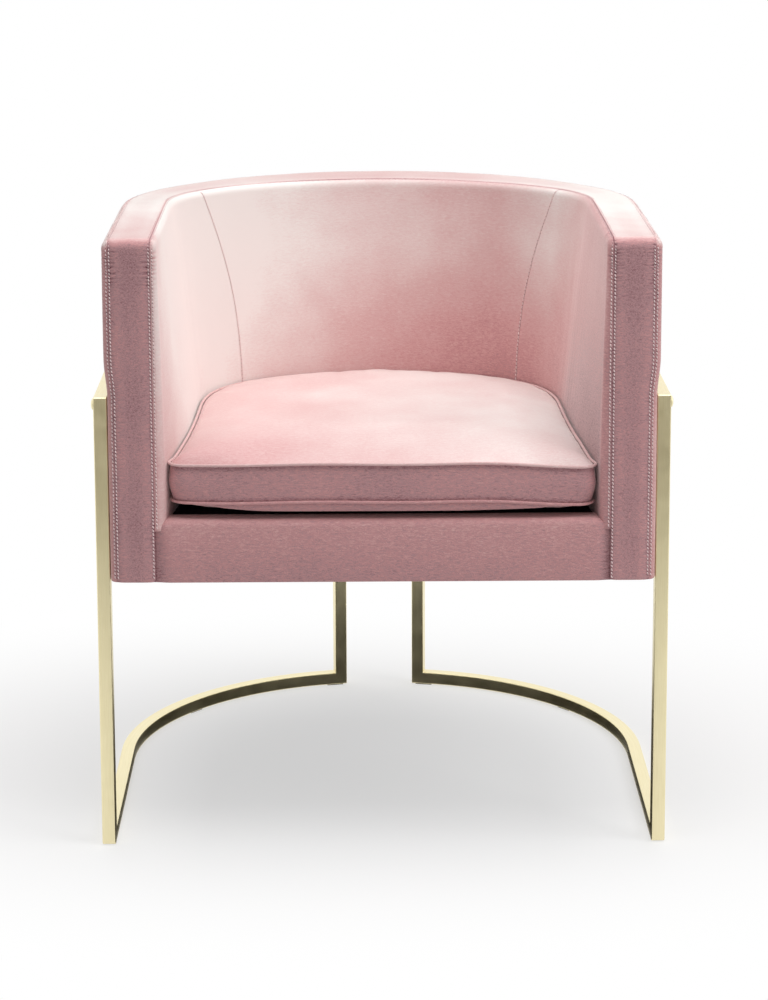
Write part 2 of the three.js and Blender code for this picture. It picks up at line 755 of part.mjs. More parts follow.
// Profile over the front rail, set back by an inset: up the front, round the edge, then level
function rollProfile(inset) {
  const radius = railEdgeRadius - inset;
  const middleY = railFront + railEdgeRadius;
  const middleZ = railHeight - railEdgeRadius;
  const arc = cornerShares.map((share) => [
    middleY - radius * Math.sin(share * quarterTurn),
    middleZ + radius * Math.cos(share * quarterTurn),
  ]);
  return [[railFront + inset, shellBottom], ...arc, [railFront + railRollDepth, railHeight - inset]];
}

function frontRailCovering() {
  const reach = innerWall(2, shellBottom);
  const across = [-reach + layerGap, reach - layerGap];
  const outer = rollProfile(0);
  const inner = rollProfile(clothThickness);
  const indexes = outer.map((_, index) => index);
  const pointOn = (profile) => (x, index) => new THREE.Vector3(x, ...profile[index]);
  addPiece('front_rail_cover', 'velvet', slab(across, indexes, pointOn(outer), pointOn(inner)));
  const padded = rollProfile(padInset);
  padded[0][1] = railBase;
  const back = railTimberFront - layerGap;
  const rear = [[railFront + railRollDepth, seatPadBottom], [back, seatPadBottom], [back, railBase]];
  const core = [...padded, ...rear];
  const shape = new THREE.Shape(core.map(([y, z]) => new THREE.Vector2(y, z)));
  const pad = new THREE.ExtrudeGeometry(shape, { depth: 2 * across[1], bevelEnabled: false, steps: 1 });
  const placed = new THREE.Matrix4().makeBasis(
    new THREE.Vector3(0, 1, 0), new THREE.Vector3(0, 0, 1), new THREE.Vector3(1, 0, 0));
  pad.applyMatrix4(placed).translate(across[0], 0, 0);
  addPiece('front_rail_foam', 'foam', closed(pad));
}

function dustCover() {
  const reach = turnAt(armRounded);
  const turns = turnsBetween(-reach, reach);
  const ring = (z) => turns.map((turn) => at(turn, panelRadius, z));
  addPiece('dust_cover', 'darkCloth', loft([ring(shellBottom), ring(shellBottom + thinCloth)]));
}

// Plan of the seat cushion, as points going round from its front left corner
function cushionRadius(turn) {
  const forward = straightShare(turn) * armLength;
  const wedge = cushionFrontGap * ease(forward, armLength - cushionTaperLength, armLength);
  return innerWall(turn, topWelt) - cushionClearance - wedge;
}

const cushionFront = armFront + cushionSetback;
const cushionMiddle = new THREE.Vector2(0, straightLength * cushionMiddleShare);

function cushionPlan() {
  const reach = turnAt(cushionFront + cushionCornerRadius);
  const sideEnd = cushionRadius(reach);
  const points = turnsBetween(-reach, reach).map((turn) => {
    const place = at(turn, cushionRadius(turn), 0);
    return new THREE.Vector2(place.x, place.y);
  });
  const corner = (side, share) => {
    const angle = share * quarterTurn;
    return new THREE.Vector2(
      side * (sideEnd - cushionCornerRadius * (1 - Math.cos(angle))),
      cushionFront + cushionCornerRadius * (1 - Math.sin(angle)));
  };
  const flatEnd = sideEnd - cushionCornerRadius;
  const front = frontEdgeShares.map((share) => new THREE.Vector2(
    -share * flatEnd, cushionFront - cushionFrontSwell * (1 - share ** 2)));
  const turnShares = cornerShares.slice(0, -1);
  return [
    ...points,
    ...turnShares.map((share) => corner(1, 1 - share + turnShares.at(-1))),
    ...front,
    ...turnShares.map((share) => corner(-1, share)),
  ];
}

const plan = cushionPlan();
const weltInner = 2 * weltRadius + layerGap;

// The same plan drawn in by an inset and shrunk to a share about its middle, at a height
function cushionRing(inset, share, z) {
  return plan.map((point, i) => {
    const before = plan.at(i - 1);
    const after = plan[(i + 1) % plan.length];
    const inward = new THREE.Vector2(after.y - before.y, before.x - after.x).normalize();
    const moved = point.clone().addScaledVector(inward, inset);
    const placed = cushionMiddle.clone().lerp(moved, share);
    return new THREE.Vector3(placed.x, placed.y, z);
  });
}

// A domed panel of the cushion's cover from its welt to its middle; rise is up or down
function panel(welt, rise, crown) {
  const skin = (depth) => crownShares.map((share) => (
    cushionRing(weltInner, share, welt + rise * (crown * (1 - share ** crownPower) - depth))));
  return loft([...skin(0), ...skin(clothThickness).reverse()], true);
}

function welt(z) {
  const section = Array.from({ length: weltFacets }, (_, step) => {
    const angle = step / weltFacets * 4 * quarterTurn;
    return [weltRadius * (1 - Math.cos(angle)), z + weltRadius * Math.sin(angle)];
  });
  return loft(section.map(([inset, height]) => cushionRing(inset, 1, height)), true);
}

function boxing() {
  const low = bottomWelt + weltRadius + layerGap;
  const high = topWelt - weltRadius - layerGap;
  const middle = (low + high) / 2;
  const face = (depth) => [
    [boxingDrawIn + depth, low], [depth + boxingSetback, middle], [boxingDrawIn + depth, high],
  ];
  const section = [...face(0), ...face(clothThickness).reverse()];
  return loft(section.map(([inset, height]) => cushionRing(inset, 1, height)), true);
}

function cushionCore() {
  const side = boxingDrawIn + clothThickness + layerGap;
  const cover = clothThickness + layerGap;
  const face = (weltHeight, rise, crown) => crownShares.map((share) => (
    cushionRing(weltInner, share,
      weltHeight + rise * (crown * (1 - share ** crownPower) - cover))));
  return loft([
    ...face(bottomWelt, -1, cushionBottomCrown).reverse(),
    cushionRing(side, 1, bottomWelt + foamEdge),
    cushionRing(side, 1, topWelt - foamEdge),
    ...face(topWelt, 1, cushionTopCrown),
  ]);
}

function zip() {
  const middle = (topWelt + bottomWelt) / 2;
  const reach = zipLength / 2 / (cushionRadius(0) * quarterTurn);
  const heights = [middle - zipWidth / 2, middle + zipWidth / 2];
  const face = (radius) => (turn, z) => at(turn, cushionRadius(turn) + radius, z);
  return slab(turnsBetween(-reach, reach), heights, face(layerGap + zipThickness), face(layerGap));
}

function seatCushion() {
  addPiece('cushion_foam', 'foam', cushionCore());
  addPiece('cushion_top', 'velvet', panel(topWelt, 1, cushionTopCrown));
  addPiece('cushion_bottom', 'velvet', panel(bottomWelt, -1, cushionBottomCrown));
  addPiece('cushion_boxing', 'velvet', boxing());
  addPiece('cushion_welt_top', 'velvet', welt(topWelt));
  addPiece('cushion_welt_bottom', 'velvet', welt(bottomWelt));
  addPiece('cushion_zip', 'darkCloth', zip());
}

function shell() {
  const screwHoles = sides.flatMap(([side]) => Object.values(fixingsOf(side)))
    .map((fixing) => hole(fixing, screwRadius + screwClearance, screwLength));
  addPiece('outside_cover', 'velvet', outsideCover(screwHoles));
  addPiece('border_strip', 'velvet', borderStrip());
  addPiece('inside_back_cover', 'velvet', insideBackCover());
  addPiece('outer_panel', 'plywood', outerPanel(screwHoles));
  addPiece('border_foam', 'foam', borderFoam());
  addPiece('inside_back_foam', 'foam', insideBackFoam());
  for (const [side, name] of sides) {
    addPiece(`inside_arm_cover_${name}`, 'velvet', insideArmCover(side));
    addPiece(`inside_arm_foam_${name}`, 'foam', insideArmFoam(side));
  }
}

sides.forEach(([side, name]) => metalFrame(side, name));
shell();
timberFrame();
webbing();
seatDeck();
frontRailCovering();
dustCover();
seatCushion();

// The origin lies on the floor under the middle of the chair
const bounds = new THREE.Box3().setFromObject(chair);
chair.position.set(0, -(bounds.min.y + bounds.max.y) / 2, 0);

export default chair;
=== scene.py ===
# %% [markdown]
# A velvet tub armchair on a frame of bent square bar, dressed for rendering.
#
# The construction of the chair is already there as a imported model: its bars, screws, timber
# and plain solids for the soft parts. This lesson loads that model as a fixed frame and builds
# the visible skin round it: velvet panels that meet in stitched seams, a cushion filled by a
# cloth simulation, and metal with a satin finish. Every length is in metres.

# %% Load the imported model
import math

import bpy
import numpy as np
from mathutils import Matrix, Vector, geometry, noise


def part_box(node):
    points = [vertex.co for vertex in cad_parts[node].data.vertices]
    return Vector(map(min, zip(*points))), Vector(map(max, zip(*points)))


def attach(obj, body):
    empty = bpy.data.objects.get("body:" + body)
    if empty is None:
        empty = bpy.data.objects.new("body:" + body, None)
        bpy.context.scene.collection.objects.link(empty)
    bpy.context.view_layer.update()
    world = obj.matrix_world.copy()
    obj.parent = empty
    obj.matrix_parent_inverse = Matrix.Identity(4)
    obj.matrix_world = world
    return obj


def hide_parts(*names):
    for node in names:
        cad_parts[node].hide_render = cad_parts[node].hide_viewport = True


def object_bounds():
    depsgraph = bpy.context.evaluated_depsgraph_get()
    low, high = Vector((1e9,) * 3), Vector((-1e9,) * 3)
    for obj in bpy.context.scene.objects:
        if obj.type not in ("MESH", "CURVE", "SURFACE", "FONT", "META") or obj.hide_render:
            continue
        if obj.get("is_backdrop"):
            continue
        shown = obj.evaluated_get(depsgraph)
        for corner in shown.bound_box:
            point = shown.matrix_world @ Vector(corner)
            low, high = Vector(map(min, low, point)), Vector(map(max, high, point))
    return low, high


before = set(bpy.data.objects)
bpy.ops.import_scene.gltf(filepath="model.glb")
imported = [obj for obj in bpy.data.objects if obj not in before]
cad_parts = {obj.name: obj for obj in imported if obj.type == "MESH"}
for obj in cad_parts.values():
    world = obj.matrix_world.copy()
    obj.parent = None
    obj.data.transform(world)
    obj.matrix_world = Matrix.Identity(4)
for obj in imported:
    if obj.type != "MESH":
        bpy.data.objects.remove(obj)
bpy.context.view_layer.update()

MM = 0.001
QUARTER = math.pi / 2

# %% [markdown]
# The camera comes first. The photographer stood a little left of the middle, three and a half
# metres away, with a long lens. A tilt of about eleven degrees does most of the framing, and a
# small vertical shift keeps the legs nearly parallel, as a view camera would.

# %% Set up the camera
CAMERA_PLACE = (-0.0292, -3.5467, 1.2352)
CAMERA_PITCH = math.radians(10.656)
CAMERA_YAW = math.radians(0.553)
CAMERA_ROLL = math.radians(-0.176)
LENS = 104.6
LENS_SHIFT = -0.18

camera = bpy.data.objects.new("camera", bpy.data.cameras.new("camera"))
bpy.context.scene.collection.objects.link(camera)
turned = (Matrix.Rotation(-CAMERA_YAW, 4, "Z") @ Matrix.Rotation(QUARTER - CAMERA_PITCH, 4, "X")
          @ Matrix.Rotation(CAMERA_ROLL, 4, "Z"))
camera.matrix_world = Matrix.Translation(CAMERA_PLACE) @ turned
camera.data.sensor_width = 36
camera.data.lens = LENS
camera.data.shift_y = LENS_SHIFT
bpy.context.scene.camera = camera
print("camera", round(camera.location.length, 2), "m from the middle of the floor plan")

# %% [markdown]
# Colours are noted as they look on a screen, in hex, while shaders work with linear light. One
# function makes that change. A second one adds a node to a material together with its settings
# and its links, so that a material reads as a short recipe.

# %% Helpers for colour and nodes
def linear(hex_colour):
    """A hex colour, as seen on a screen, turned to the linear values that shaders use."""
    channels = [int(hex_colour[place:place + 2], 16) / 255 for place in (1, 3, 5)]
    return (*[c / 12.92 if c <= 0.04045 else ((c + 0.055) / 1.055) ** 2.4 for c in channels], 1)


def add(tree, kind, settings=None, links=None):
    """A node with its settings, which are sockets or options, and what its sockets are fed by."""
    node = tree.nodes.new("ShaderNode" + kind)
    for name, value in (settings or {}).items():
        if isinstance(name, int) or name in node.inputs:
            node.inputs[name].default_value = value
        else:
            setattr(node, name, value)
    for name, source in (links or {}).items():
        tree.links.new(source, node.inputs[name])
    return node


def blank(name, settings):
    """A material whose only shader is a Principled BSDF with the given settings."""
    material = bpy.data.materials.new(name)
    material.use_nodes = True
    tree = material.node_tree
    tree.nodes.clear()
    shader = add(tree, "BsdfPrincipled", settings)
    add(tree, "OutputMaterial", links={"Surface": shader.outputs[0]})
    return material, tree, shader


def ramp(tree, source, stops):
    """A colour ramp through stops of (place, colour), fed by a source."""
    node = add(tree, "ValToRGB", links={"Fac": source})
    elements = node.color_ramp.elements
    while len(elements) < len(stops):
        elements.new(0.5)
    for element, (place, colour) in zip(elements, stops):
        element.position = place
        element.color = colour
    return node.outputs["Color"]


# %% [markdown]
# Velvet is a cut pile: short fibres that stand up from a woven ground. Seen straight on, the eye
# looks into the pile and the colour is deep. Seen at a glance, the lit sides of the fibres add a
# pale bloom, which the sheen of the shader stands for. The pile also leans, so that one cloth
# has many tones: where it leans away from the eye it looks pale, and where it leans towards the
# eye it looks deep. That lean is called the lie, and it is stored on the mesh as a number from 0,
# deep, to 1, pale. The lie also carries painted light and shade: parts that face or catch the
# light are given a paler lie, and parts in shade, valleys and creases a deeper one, as seen from
# the front of the chair.
#
# The material adds what is finer than the mesh. Wisps, a few millimetres long, are tufts that
# stick together and lie across the panel; where the pile looks pale they hardly show. A speckle
# stands for the fibres themselves. Real ones are 0.05 mm thick, too fine to show at this
# distance, so the speckle is drawn 1.2 mm wide.

# %% Velvet
PILE_SPECKLE = 1.2 * MM
WISP_WIDTH = 1.8 * MM
WISP_STRETCH = 3.2
WISP_SHARE = 0.75
SPECKLE_SHARE = 0.4
CALM_SHARE = 0.25


def velvet(name):
    """Cut-pile velvet whose tone follows the lie stored on each mesh, with the light and shade painted into it.
    """
    material, tree, shader = blank(name, {
        "Roughness": 0.9, "IOR": 1.45, "Specular IOR Level": 0.1,
        "Sheen Weight": 0.65, "Sheen Roughness": 0.38, "Sheen Tint": linear("#FFF3EF")})
    lie = add(tree, "Attribute", {"attribute_name": "lie"}).outputs["Fac"]
    cloth = add(tree, "Attribute", {"attribute_name": "cloth"}).outputs["Vector"]
    scale = (1 / WISP_WIDTH / WISP_STRETCH, 1 / WISP_WIDTH, 1 / WISP_WIDTH)
    across = add(tree, "Mapping", {"Scale": scale}, {"Vector": cloth}).outputs[0]
    wisps = add(tree, "TexNoise", {"Scale": 1, "Detail": 3, "Distortion": 1.1},
                {"Vector": across}).outputs["Fac"]
    speckle = add(tree, "TexNoise", {"Scale": 1 / PILE_SPECKLE, "Detail": 2},
                  {"Vector": cloth}).outputs["Fac"]
    tufts = add(tree, "Math", {"operation": "MULTIPLY_ADD", 1: WISP_SHARE, 2: -WISP_SHARE / 2},
                {0: wisps}).outputs[0]
    fibres = add(tree, "Math", {"operation": "MULTIPLY_ADD", 1: SPECKLE_SHARE, 2: -SPECKLE_SHARE / 2},
                 {0: speckle}).outputs[0]
    rough = add(tree, "Math", {"operation": "ADD"}, {0: tufts, 1: fibres}).outputs[0]
    calm = add(tree, "MapRange", {"From Min": 0.45, "From Max": 0.8, "To Min": 1.0, "To Max": CALM_SHARE},
               {"Value": lie}).outputs[0]
    fine = add(tree, "Math", {"operation": "MULTIPLY"}, {0: rough, 1: calm}).outputs[0]
    tone = add(tree, "Math", {"operation": "ADD"}, {0: lie, 1: fine}).outputs[0]
    colour = ramp(tree, tone, [(0.0, linear("#704047")), (0.1, linear("#9C6F75")),
                               (0.33, linear("#C0979A")), (0.45, linear("#CE9899")),
                               (0.6, linear("#DAABAB")), (0.75, linear("#E2C1BF")),
                               (1.0, linear("#F7F2EE"))])
    tree.links.new(colour, shader.inputs["Base Color"])
    bump = add(tree, "Bump", {"Strength": 0.5, "Distance": 1.2 * MM}, {"Height": fine})
    tree.links.new(bump.outputs[0], shader.inputs["Normal"])
    return material


velvet_rose = velvet("rose_velvet")
print("velvet wisps", WISP_WIDTH / MM, "mm wide, speckle", PILE_SPECKLE / MM, "mm")

# %% [markdown]
# The bars are steel with a brushed brass plating under a clear lacquer: a metal, so its colour is
# in its reflections. Fine scratches along the bar come from the abrasive belt, about 0.1 mm
# apart. They are drawn 0.6 mm apart here, still barely visible, and they spread each reflection
# into a satin glow. Handling leaves faint dull smudges, which only change the roughness.
#
# Scratches have to follow a bar round its bend. Each point of a bar stores how far it lies along
# the bar and where it lies across it, and the height serves for the legs.

# %% Brushed brass
BELT_SCRATCH = 0.6 * MM
SCRATCH_STRETCH = 60
SMUDGE_SIZE = 30 * MM


def brushed_brass(name):
    """Plated and lacquered brass, with belt scratches along each bar."""
    material, tree, shader = blank(name, {"Metallic": 1.0})
    bar = add(tree, "Attribute", {"attribute_name": "bar"}).outputs["Vector"]
    place = add(tree, "TexCoord").outputs["Object"]
    height = add(tree, "SeparateXYZ", links={0: place}).outputs["Z"]
    fine = 1 / BELT_SCRATCH
    along = add(tree, "Mapping", {"Scale": (fine / SCRATCH_STRETCH, fine, fine)}, {"Vector": bar}).outputs[0]
    up = add(tree, "Math", {"operation": "MULTIPLY", 1: fine / SCRATCH_STRETCH}, {0: height}).outputs[0]
    scratches = add(tree, "TexNoise", {"noise_dimensions": "4D", "Scale": 1, "Detail": 3},
                    {"Vector": along, "W": up}).outputs["Fac"]
    smudges = add(tree, "TexNoise", {"Scale": 1 / SMUDGE_SIZE, "Detail": 5, "Distortion": 1.2},
                  {"Vector": place}).outputs["Fac"]
    colour = ramp(tree, scratches, [(0.35, linear("#F1E5B9")), (0.65, linear("#F8EDC4"))])
    rough = add(tree, "MapRange", {"From Min": 0.35, "From Max": 0.7, "To Min": 0.29, "To Max": 0.36},
                {"Value": smudges}).outputs[0]
    tree.links.new(colour, shader.inputs["Base Color"])
    tree.links.new(rough, shader.inputs["Roughness"])
    return material


brass_bars = brushed_brass("brushed_brass")
print("belt scratches", BELT_SCRATCH / MM, "mm apart")

# %% [markdown]
# The rest of the materials are simple recipes of the same kind: spun thread, moulded nylon,
# zinc-plated steel, sawn beech, birch plywood, spunbonded cloth, a plain woven lining cloth and
# jute webbing. The weave of a cloth comes from two crossed sets of waves.

# %% Thread, nylon, steel, timber and cloths
def grained(name, dark, pale, size, stretch_axis, stretch, settings, bump_height=0.05 * MM):
    """A material whose colour runs from dark to pale through a stretched grain."""
    material, tree, shader = blank(name, settings)
    place = add(tree, "TexCoord").outputs["Object"]
    scale = [1 / size] * 3
    scale[stretch_axis] /= stretch
    along = add(tree, "Mapping", {"Scale": scale}, {"Vector": place}).outputs[0]
    grain = add(tree, "TexNoise", {"Scale": 1, "Detail": 6, "Distortion": 0.4}, {"Vector": along})
    colour = ramp(tree, grain.outputs["Fac"], [(0.3, linear(dark)), (0.7, linear(pale))])
    bump = add(tree, "Bump", {"Strength": 0.4, "Distance": bump_height},
               {"Height": grain.outputs["Fac"]})
    tree.links.new(colour, shader.inputs["Base Color"])
    tree.links.new(bump.outputs[0], shader.inputs["Normal"])
    return material


def woven(name, dark, pale, thread, settings):
    """A plain woven cloth, with threads a given distance apart."""
    material, tree, shader = blank(name, settings)
    place = add(tree, "TexCoord").outputs["Object"]
    waves = [add(tree, "TexWave", {"Scale": 1 / thread / 20, "bands_direction": axis},
                 {"Vector": place}).outputs["Fac"] for axis in ("X", "Y")]
    weave = add(tree, "Math", {"operation": "MULTIPLY"}, {0: waves[0], 1: waves[1]}).outputs[0]
    colour = ramp(tree, weave, [(0.0, linear(dark)), (0.8, linear(pale))])
    bump = add(tree, "Bump", {"Strength": 0.5, "Distance": 0.2 * MM}, {"Height": weave})
    tree.links.new(colour, shader.inputs["Base Color"])
    tree.links.new(bump.outputs[0], shader.inputs["Normal"])
    return material


thread_polyester = grained("spun_polyester_thread", "#E3C3C4", "#F8E8E6", 0.6 * MM, 0, 1,
                           {"Roughness": 0.6, "Sheen Weight": 0.3})
nylon_black = grained("moulded_nylon", "#141312", "#201E1D", 2 * MM, 0, 1, {"Roughness": 0.5})
steel_zinc = grained("zinc_plated_steel", "#8E8F90", "#B5B6B7", 1 * MM, 0, 1,
                     {"Metallic": 1.0, "Roughness": 0.4})
beech_sawn = grained("sawn_beech", "#B98A5C", "#D9B487", 3 * MM, 2, 12, {"Roughness": 0.7})
birch_ply = grained("birch_plywood", "#C9A777", "#E2C9A0", 4 * MM, 0, 10, {"Roughness": 0.65})
cloth_spunbond = grained("spunbonded_cloth", "#0E0D0D", "#1B1919", 0.8 * MM, 0, 1,
                         {"Roughness": 0.9, "Specular IOR Level": 0.2})
cloth_lining = woven("woven_lining", "#0F0C0D", "#2A2224", 1.2 * MM,
                     {"Roughness": 0.9, "Specular IOR Level": 0.2})
webbing_jute = woven("jute_webbing", "#2E2620", "#5A4B3C", 2 * MM, {"Roughness": 0.9})

# %% [markdown]
# Nearly every soft piece here is a grid of points on a smooth surface: two parameters run along
# and across it, and a formula gives each point. That keeps seams exactly where two panels meet.
# These helpers turn such a grid into a mesh, find its normals, and give a cloth its thickness.

# %% Helpers for grids and meshes
CLOUD_SIZE = 95 * MM


def store(mesh, key, values):
    """Stores a number or vector for each point of a mesh, or for each corner of its faces."""
    parts = 3 if values.shape[-1] == 3 else 1
    domain = "POINT" if values.size == parts * len(mesh.vertices) else "CORNER"
    layer = mesh.attributes.new(key, "FLOAT_VECTOR" if parts == 3 else "FLOAT", domain)
    layer.data.foreach_set("vector" if parts == 3 else "value", values.ravel())


def piece_of(name, points, faces, material, **stored):
    """A smooth mesh piece from points and faces, with numbers or vectors stored on its points."""
    mesh = bpy.data.meshes.new(name)
    mesh.from_pydata(np.reshape(points, (-1, 3)).tolist(), [], faces)
    mesh.shade_smooth()
    mesh.materials.append(material)
    for key, values in stored.items():
        store(mesh, key, np.asarray(values, np.float32))
    piece = bpy.data.objects.new(name, mesh)
    bpy.context.scene.collection.objects.link(piece)
    return piece


def grid_faces(rows, columns, wrap=False):
    """Quads between the neighbours of a grid, whose columns may close on themselves."""
    i, j = np.meshgrid(np.arange(rows - 1), np.arange(columns - (not wrap)), indexing="ij")
    k = (j + 1) % columns
    corners = [i * columns + j, i * columns + k, (i + 1) * columns + k, (i + 1) * columns + j]
    return np.stack(corners, -1).reshape(-1, 4)


def normals_of(points, toward):
    """Unit normals of a grid, on the side that the given direction points to on the whole."""
    normal = np.cross(np.gradient(points, axis=0), np.gradient(points, axis=1))
    normal /= np.maximum(np.linalg.norm(normal, axis=-1, keepdims=True), 1e-12)
    return normal if (normal * toward).sum() > 0 else -normal


def travel_along(line):
    """The distance travelled along a line of points, at each of them."""
    return np.concatenate([[0], np.cumsum(np.linalg.norm(np.diff(line, axis=0), axis=1))])


def smooth(x, low, high):
    """An even ease from 0 at low to 1 at high."""
    share = np.clip((x - low) / (high - low), 0, 1)
    return share * share * (3 - 2 * share)


def bell(x, width):
    """A bell curve, 1 at 0 and nearly 0 past twice its width."""
    return np.exp(-(x / width) ** 2)


def rough_field(points, size, seed):
    """Smooth noise at each point, about -1 to 1, with bumps of a given size."""
    flat = np.reshape(points, (-1, 3)) / size + seed
    return np.array([noise.noise(Vector(p)) for p in flat]).reshape(np.shape(points)[:-1])


def brushed(points, lie, seed, strength=1.0):
    """The lie of the pile over a piece, with the soft clouds that hands leave in it."""
    clouds = 0.1 * rough_field(points, CLOUD_SIZE, seed) + 0.06 * rough_field(points, CLOUD_SIZE / 3, seed)
    return lie + strength * clouds


def panel(name, points, toward, material, thickness=1.4 * MM, across=False, lie=0.5):
    """A cloth panel from a grid, facing a direction, with its thickness behind it."""
    rows, columns = points.shape[:2]
    faces = grid_faces(rows, columns)
    normal = np.cross(np.gradient(points, axis=0), np.gradient(points, axis=1))
    if (normal * toward).sum() > 0:
        faces = faces[:, ::-1]
    along, up = np.meshgrid(travel_along(points[rows // 2]), travel_along(points[:, columns // 2]))
    cloth = np.stack([up, along, 0 * up] if across else [along, up, 0 * up], -1)
    piece = piece_of(name, points, faces.tolist(), material, cloth=cloth, lie=lie + 0 * up)
    solid = piece.modifiers.new("thickness", "SOLIDIFY")
    solid.thickness = thickness
    solid.offset = -1
    return piece


def finish_piece(piece, body, replaced=()):
    """Puts a piece on its body and hides the solids that it stands for."""
    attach(piece, body)
    if replaced:
        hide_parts(*replaced)
    return piece

# %% [markdown]
# The chair's plan is a half circle with two straight arms. A place on it is given by its turn:
# 0 is the middle of the back, 1 where the bend meets the arm, 2 the front of the arm, and minus
# those on the other side. The arms and the bend keep the same measures as the metal frame.

# %% The plan of the chair
BAR_SIDE = 16 * MM
BAR_RADIUS = 322 * MM
SHELL_RADIUS = 313.5 * MM
ARM_LENGTH = 306 * MM
ARM_OVERHANG = 10 * MM
RIM_DROP = 6 * MM
bend_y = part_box("border_strip")[0].y + ARM_LENGTH
shell_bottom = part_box("outside_cover")[0].z
rim_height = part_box("border_strip")[1].z


def on_plan(turn, radius, z):
    """Points at a turn round the chair, a distance from the plan's centre line, and a height."""
    turn, radius, z = np.broadcast_arrays(turn, radius, z)
    angle = np.clip(turn, -1, 1) * QUARTER
    straight = np.maximum(np.abs(turn) - 1, 0) * ARM_LENGTH
    return np.stack([radius * np.sin(angle), bend_y - straight + radius * np.cos(angle), z], -1)


def settled(turn, z):
    """Heights after the padded rim has settled a little across the back."""
    return z - RIM_DROP * (1 - smooth(np.abs(turn), 0.5, 1.2)) * smooth(z, rim_height - 0.2, rim_height)


print("shell from", round(shell_bottom / MM), "to", round(rim_height / MM), "mm above the floor")

# %% [markdown]
# The two loops of square bar are welded at their mitres and ground flush, so no joint shows.
# Sweeping a square round a closed path, with its corners on the mitre planes, gives each loop in
# one piece. A bevel then breaks the edges: without it no edge would catch the light.

# %% The two loops of square bar
REAR_GAP = 89 * MM
REAR_TAIL = 22 * MM
half_bar = BAR_SIDE / 2
leg_front = bend_y - ARM_LENGTH + ARM_OVERHANG
bar_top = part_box("top_band_left")[1].z
bar_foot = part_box("floor_bar_left")[0].z
tail_angle = math.asin((REAR_GAP / 2 + REAR_TAIL) / BAR_RADIUS)
tail_reach = ((BAR_RADIUS - half_bar) * math.sin(tail_angle) - REAR_GAP / 2) / math.cos(tail_angle)


def tail_point(side, reach, radius, z):
    """A point on the straight end of a bent bar, a reach past where its bend stops."""
    point = on_plan(tail_angle / QUARTER, radius, z)
    point += np.array([-math.cos(tail_angle), math.sin(tail_angle), 0]) * reach
    return point * [side, 1, 1]


def bar_rings(side, outer, inner):
    """Square sections of one bent bar, between its mitres, with the given heights."""
    corners = [(-half_bar, outer, 0), (half_bar, outer, 0), (half_bar, inner, 1), (-half_bar, inner, 1)]
    leg_turns = [1 + (bend_y - leg_front - BAR_SIDE * inward) / ARM_LENGTH for inward in (0, 1)]
    rings = [[on_plan(side * leg_turns[inward], BAR_RADIUS + across, z)
              for across, z, inward in corners]]
    for turn in [*np.linspace(1.9, 1, 8), *np.linspace(1, tail_angle / QUARTER, 32)[1:]]:
        rings.append([on_plan(side * turn, BAR_RADIUS + across, z) for across, z, _ in corners])
    rings.append([tail_point(side, tail_reach - BAR_SIDE * inward, BAR_RADIUS + across, z)
                  for across, z, inward in corners])
    along = travel_along(np.mean(rings, axis=1))
    places = [[(reach, across, inward * BAR_SIDE) for across, _, inward in corners] for reach in along]
    return rings, places


def frame_loop(side, name):
    """One loop: the band from front to back, then the floor bar from back to front."""
    band, band_places = bar_rings(side, bar_top, bar_top - BAR_SIDE)
    floor_bar, floor_places = bar_rings(side, bar_foot, bar_foot + BAR_SIDE)
    rings = np.array(band + floor_bar[::-1])
    faces = grid_faces(len(rings) + 1, 4, wrap=True) % (len(rings) * 4)
    if side < 0:
        faces = faces[:, ::-1]
    loop = piece_of(f"frame_loop_{name}", rings, faces.tolist(), brass_bars,
                    bar=np.array(band_places + floor_places[::-1]))
    bevel = loop.modifiers.new("broken edges", "BEVEL")
    bevel.width = 1.2 * MM
    bevel.segments = 3
    bevel.angle_limit = math.radians(30)
    loop.modifiers.new("flat faces", "WEIGHTED_NORMAL")
    bars = [f"{bar}_{name}" for bar in ("front_leg", "rear_upright", "top_band", "floor_bar")]
    return finish_piece(loop, "chair", bars)


for side, name in ((-1, "left"), (1, "right")):
    loop = frame_loop(side, name)
print("frame loops of", len(loop.data.vertices), "points each before their bevels")

# %% [markdown]
# Now the shell's two walls. The outside is the plan's own line, a little fuller above the metal
# band. The inside has a thick back that thins towards the arms, and it grows fuller downwards to
# hold the sitter. Both walls turn into a rounded edge under the border strip.
#
# Near its edge a wall is measured by how far it runs ahead of, or above, the centre of the arm's
# rounded corner. The larger of the two says how far out a point lies, and their ratio gives its
# direction, so the same formula serves the arm front, the rim and the corner between them.

# %% The walls of the shell
ARM_THICKNESS = 58.5 * MM
SIDE_THICKNESS = 58 * MM
BACK_THICKNESS = 86 * MM
SIDE_FULLNESS = 31 * MM
BACK_FULLNESS = 11 * MM
FULLNESS_LENGTH = 150 * MM
FRONT_LEANNESS = 0.88
OUTER_BULGE = 3.5 * MM
BULGE_RISE = 45 * MM
CORNER_RADIUS = 12 * MM
welt_high = (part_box("cushion_welt_top")[0].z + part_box("cushion_welt_top")[1].z) / 2
corner_turn = 2 - CORNER_RADIUS / ARM_LENGTH
corner_height = rim_height - CORNER_RADIUS


def outer_wall(turn, z):
    """How far out the outside of the shell lies."""
    return SHELL_RADIUS + OUTER_BULGE * smooth(z, bar_top, bar_top + BULGE_RISE)


def lowness(z):
    """0 at the rim, 1 at the height of the cushion's top and below."""
    return 1 - np.clip((z - welt_high) / (rim_height - welt_high), 0, 1)


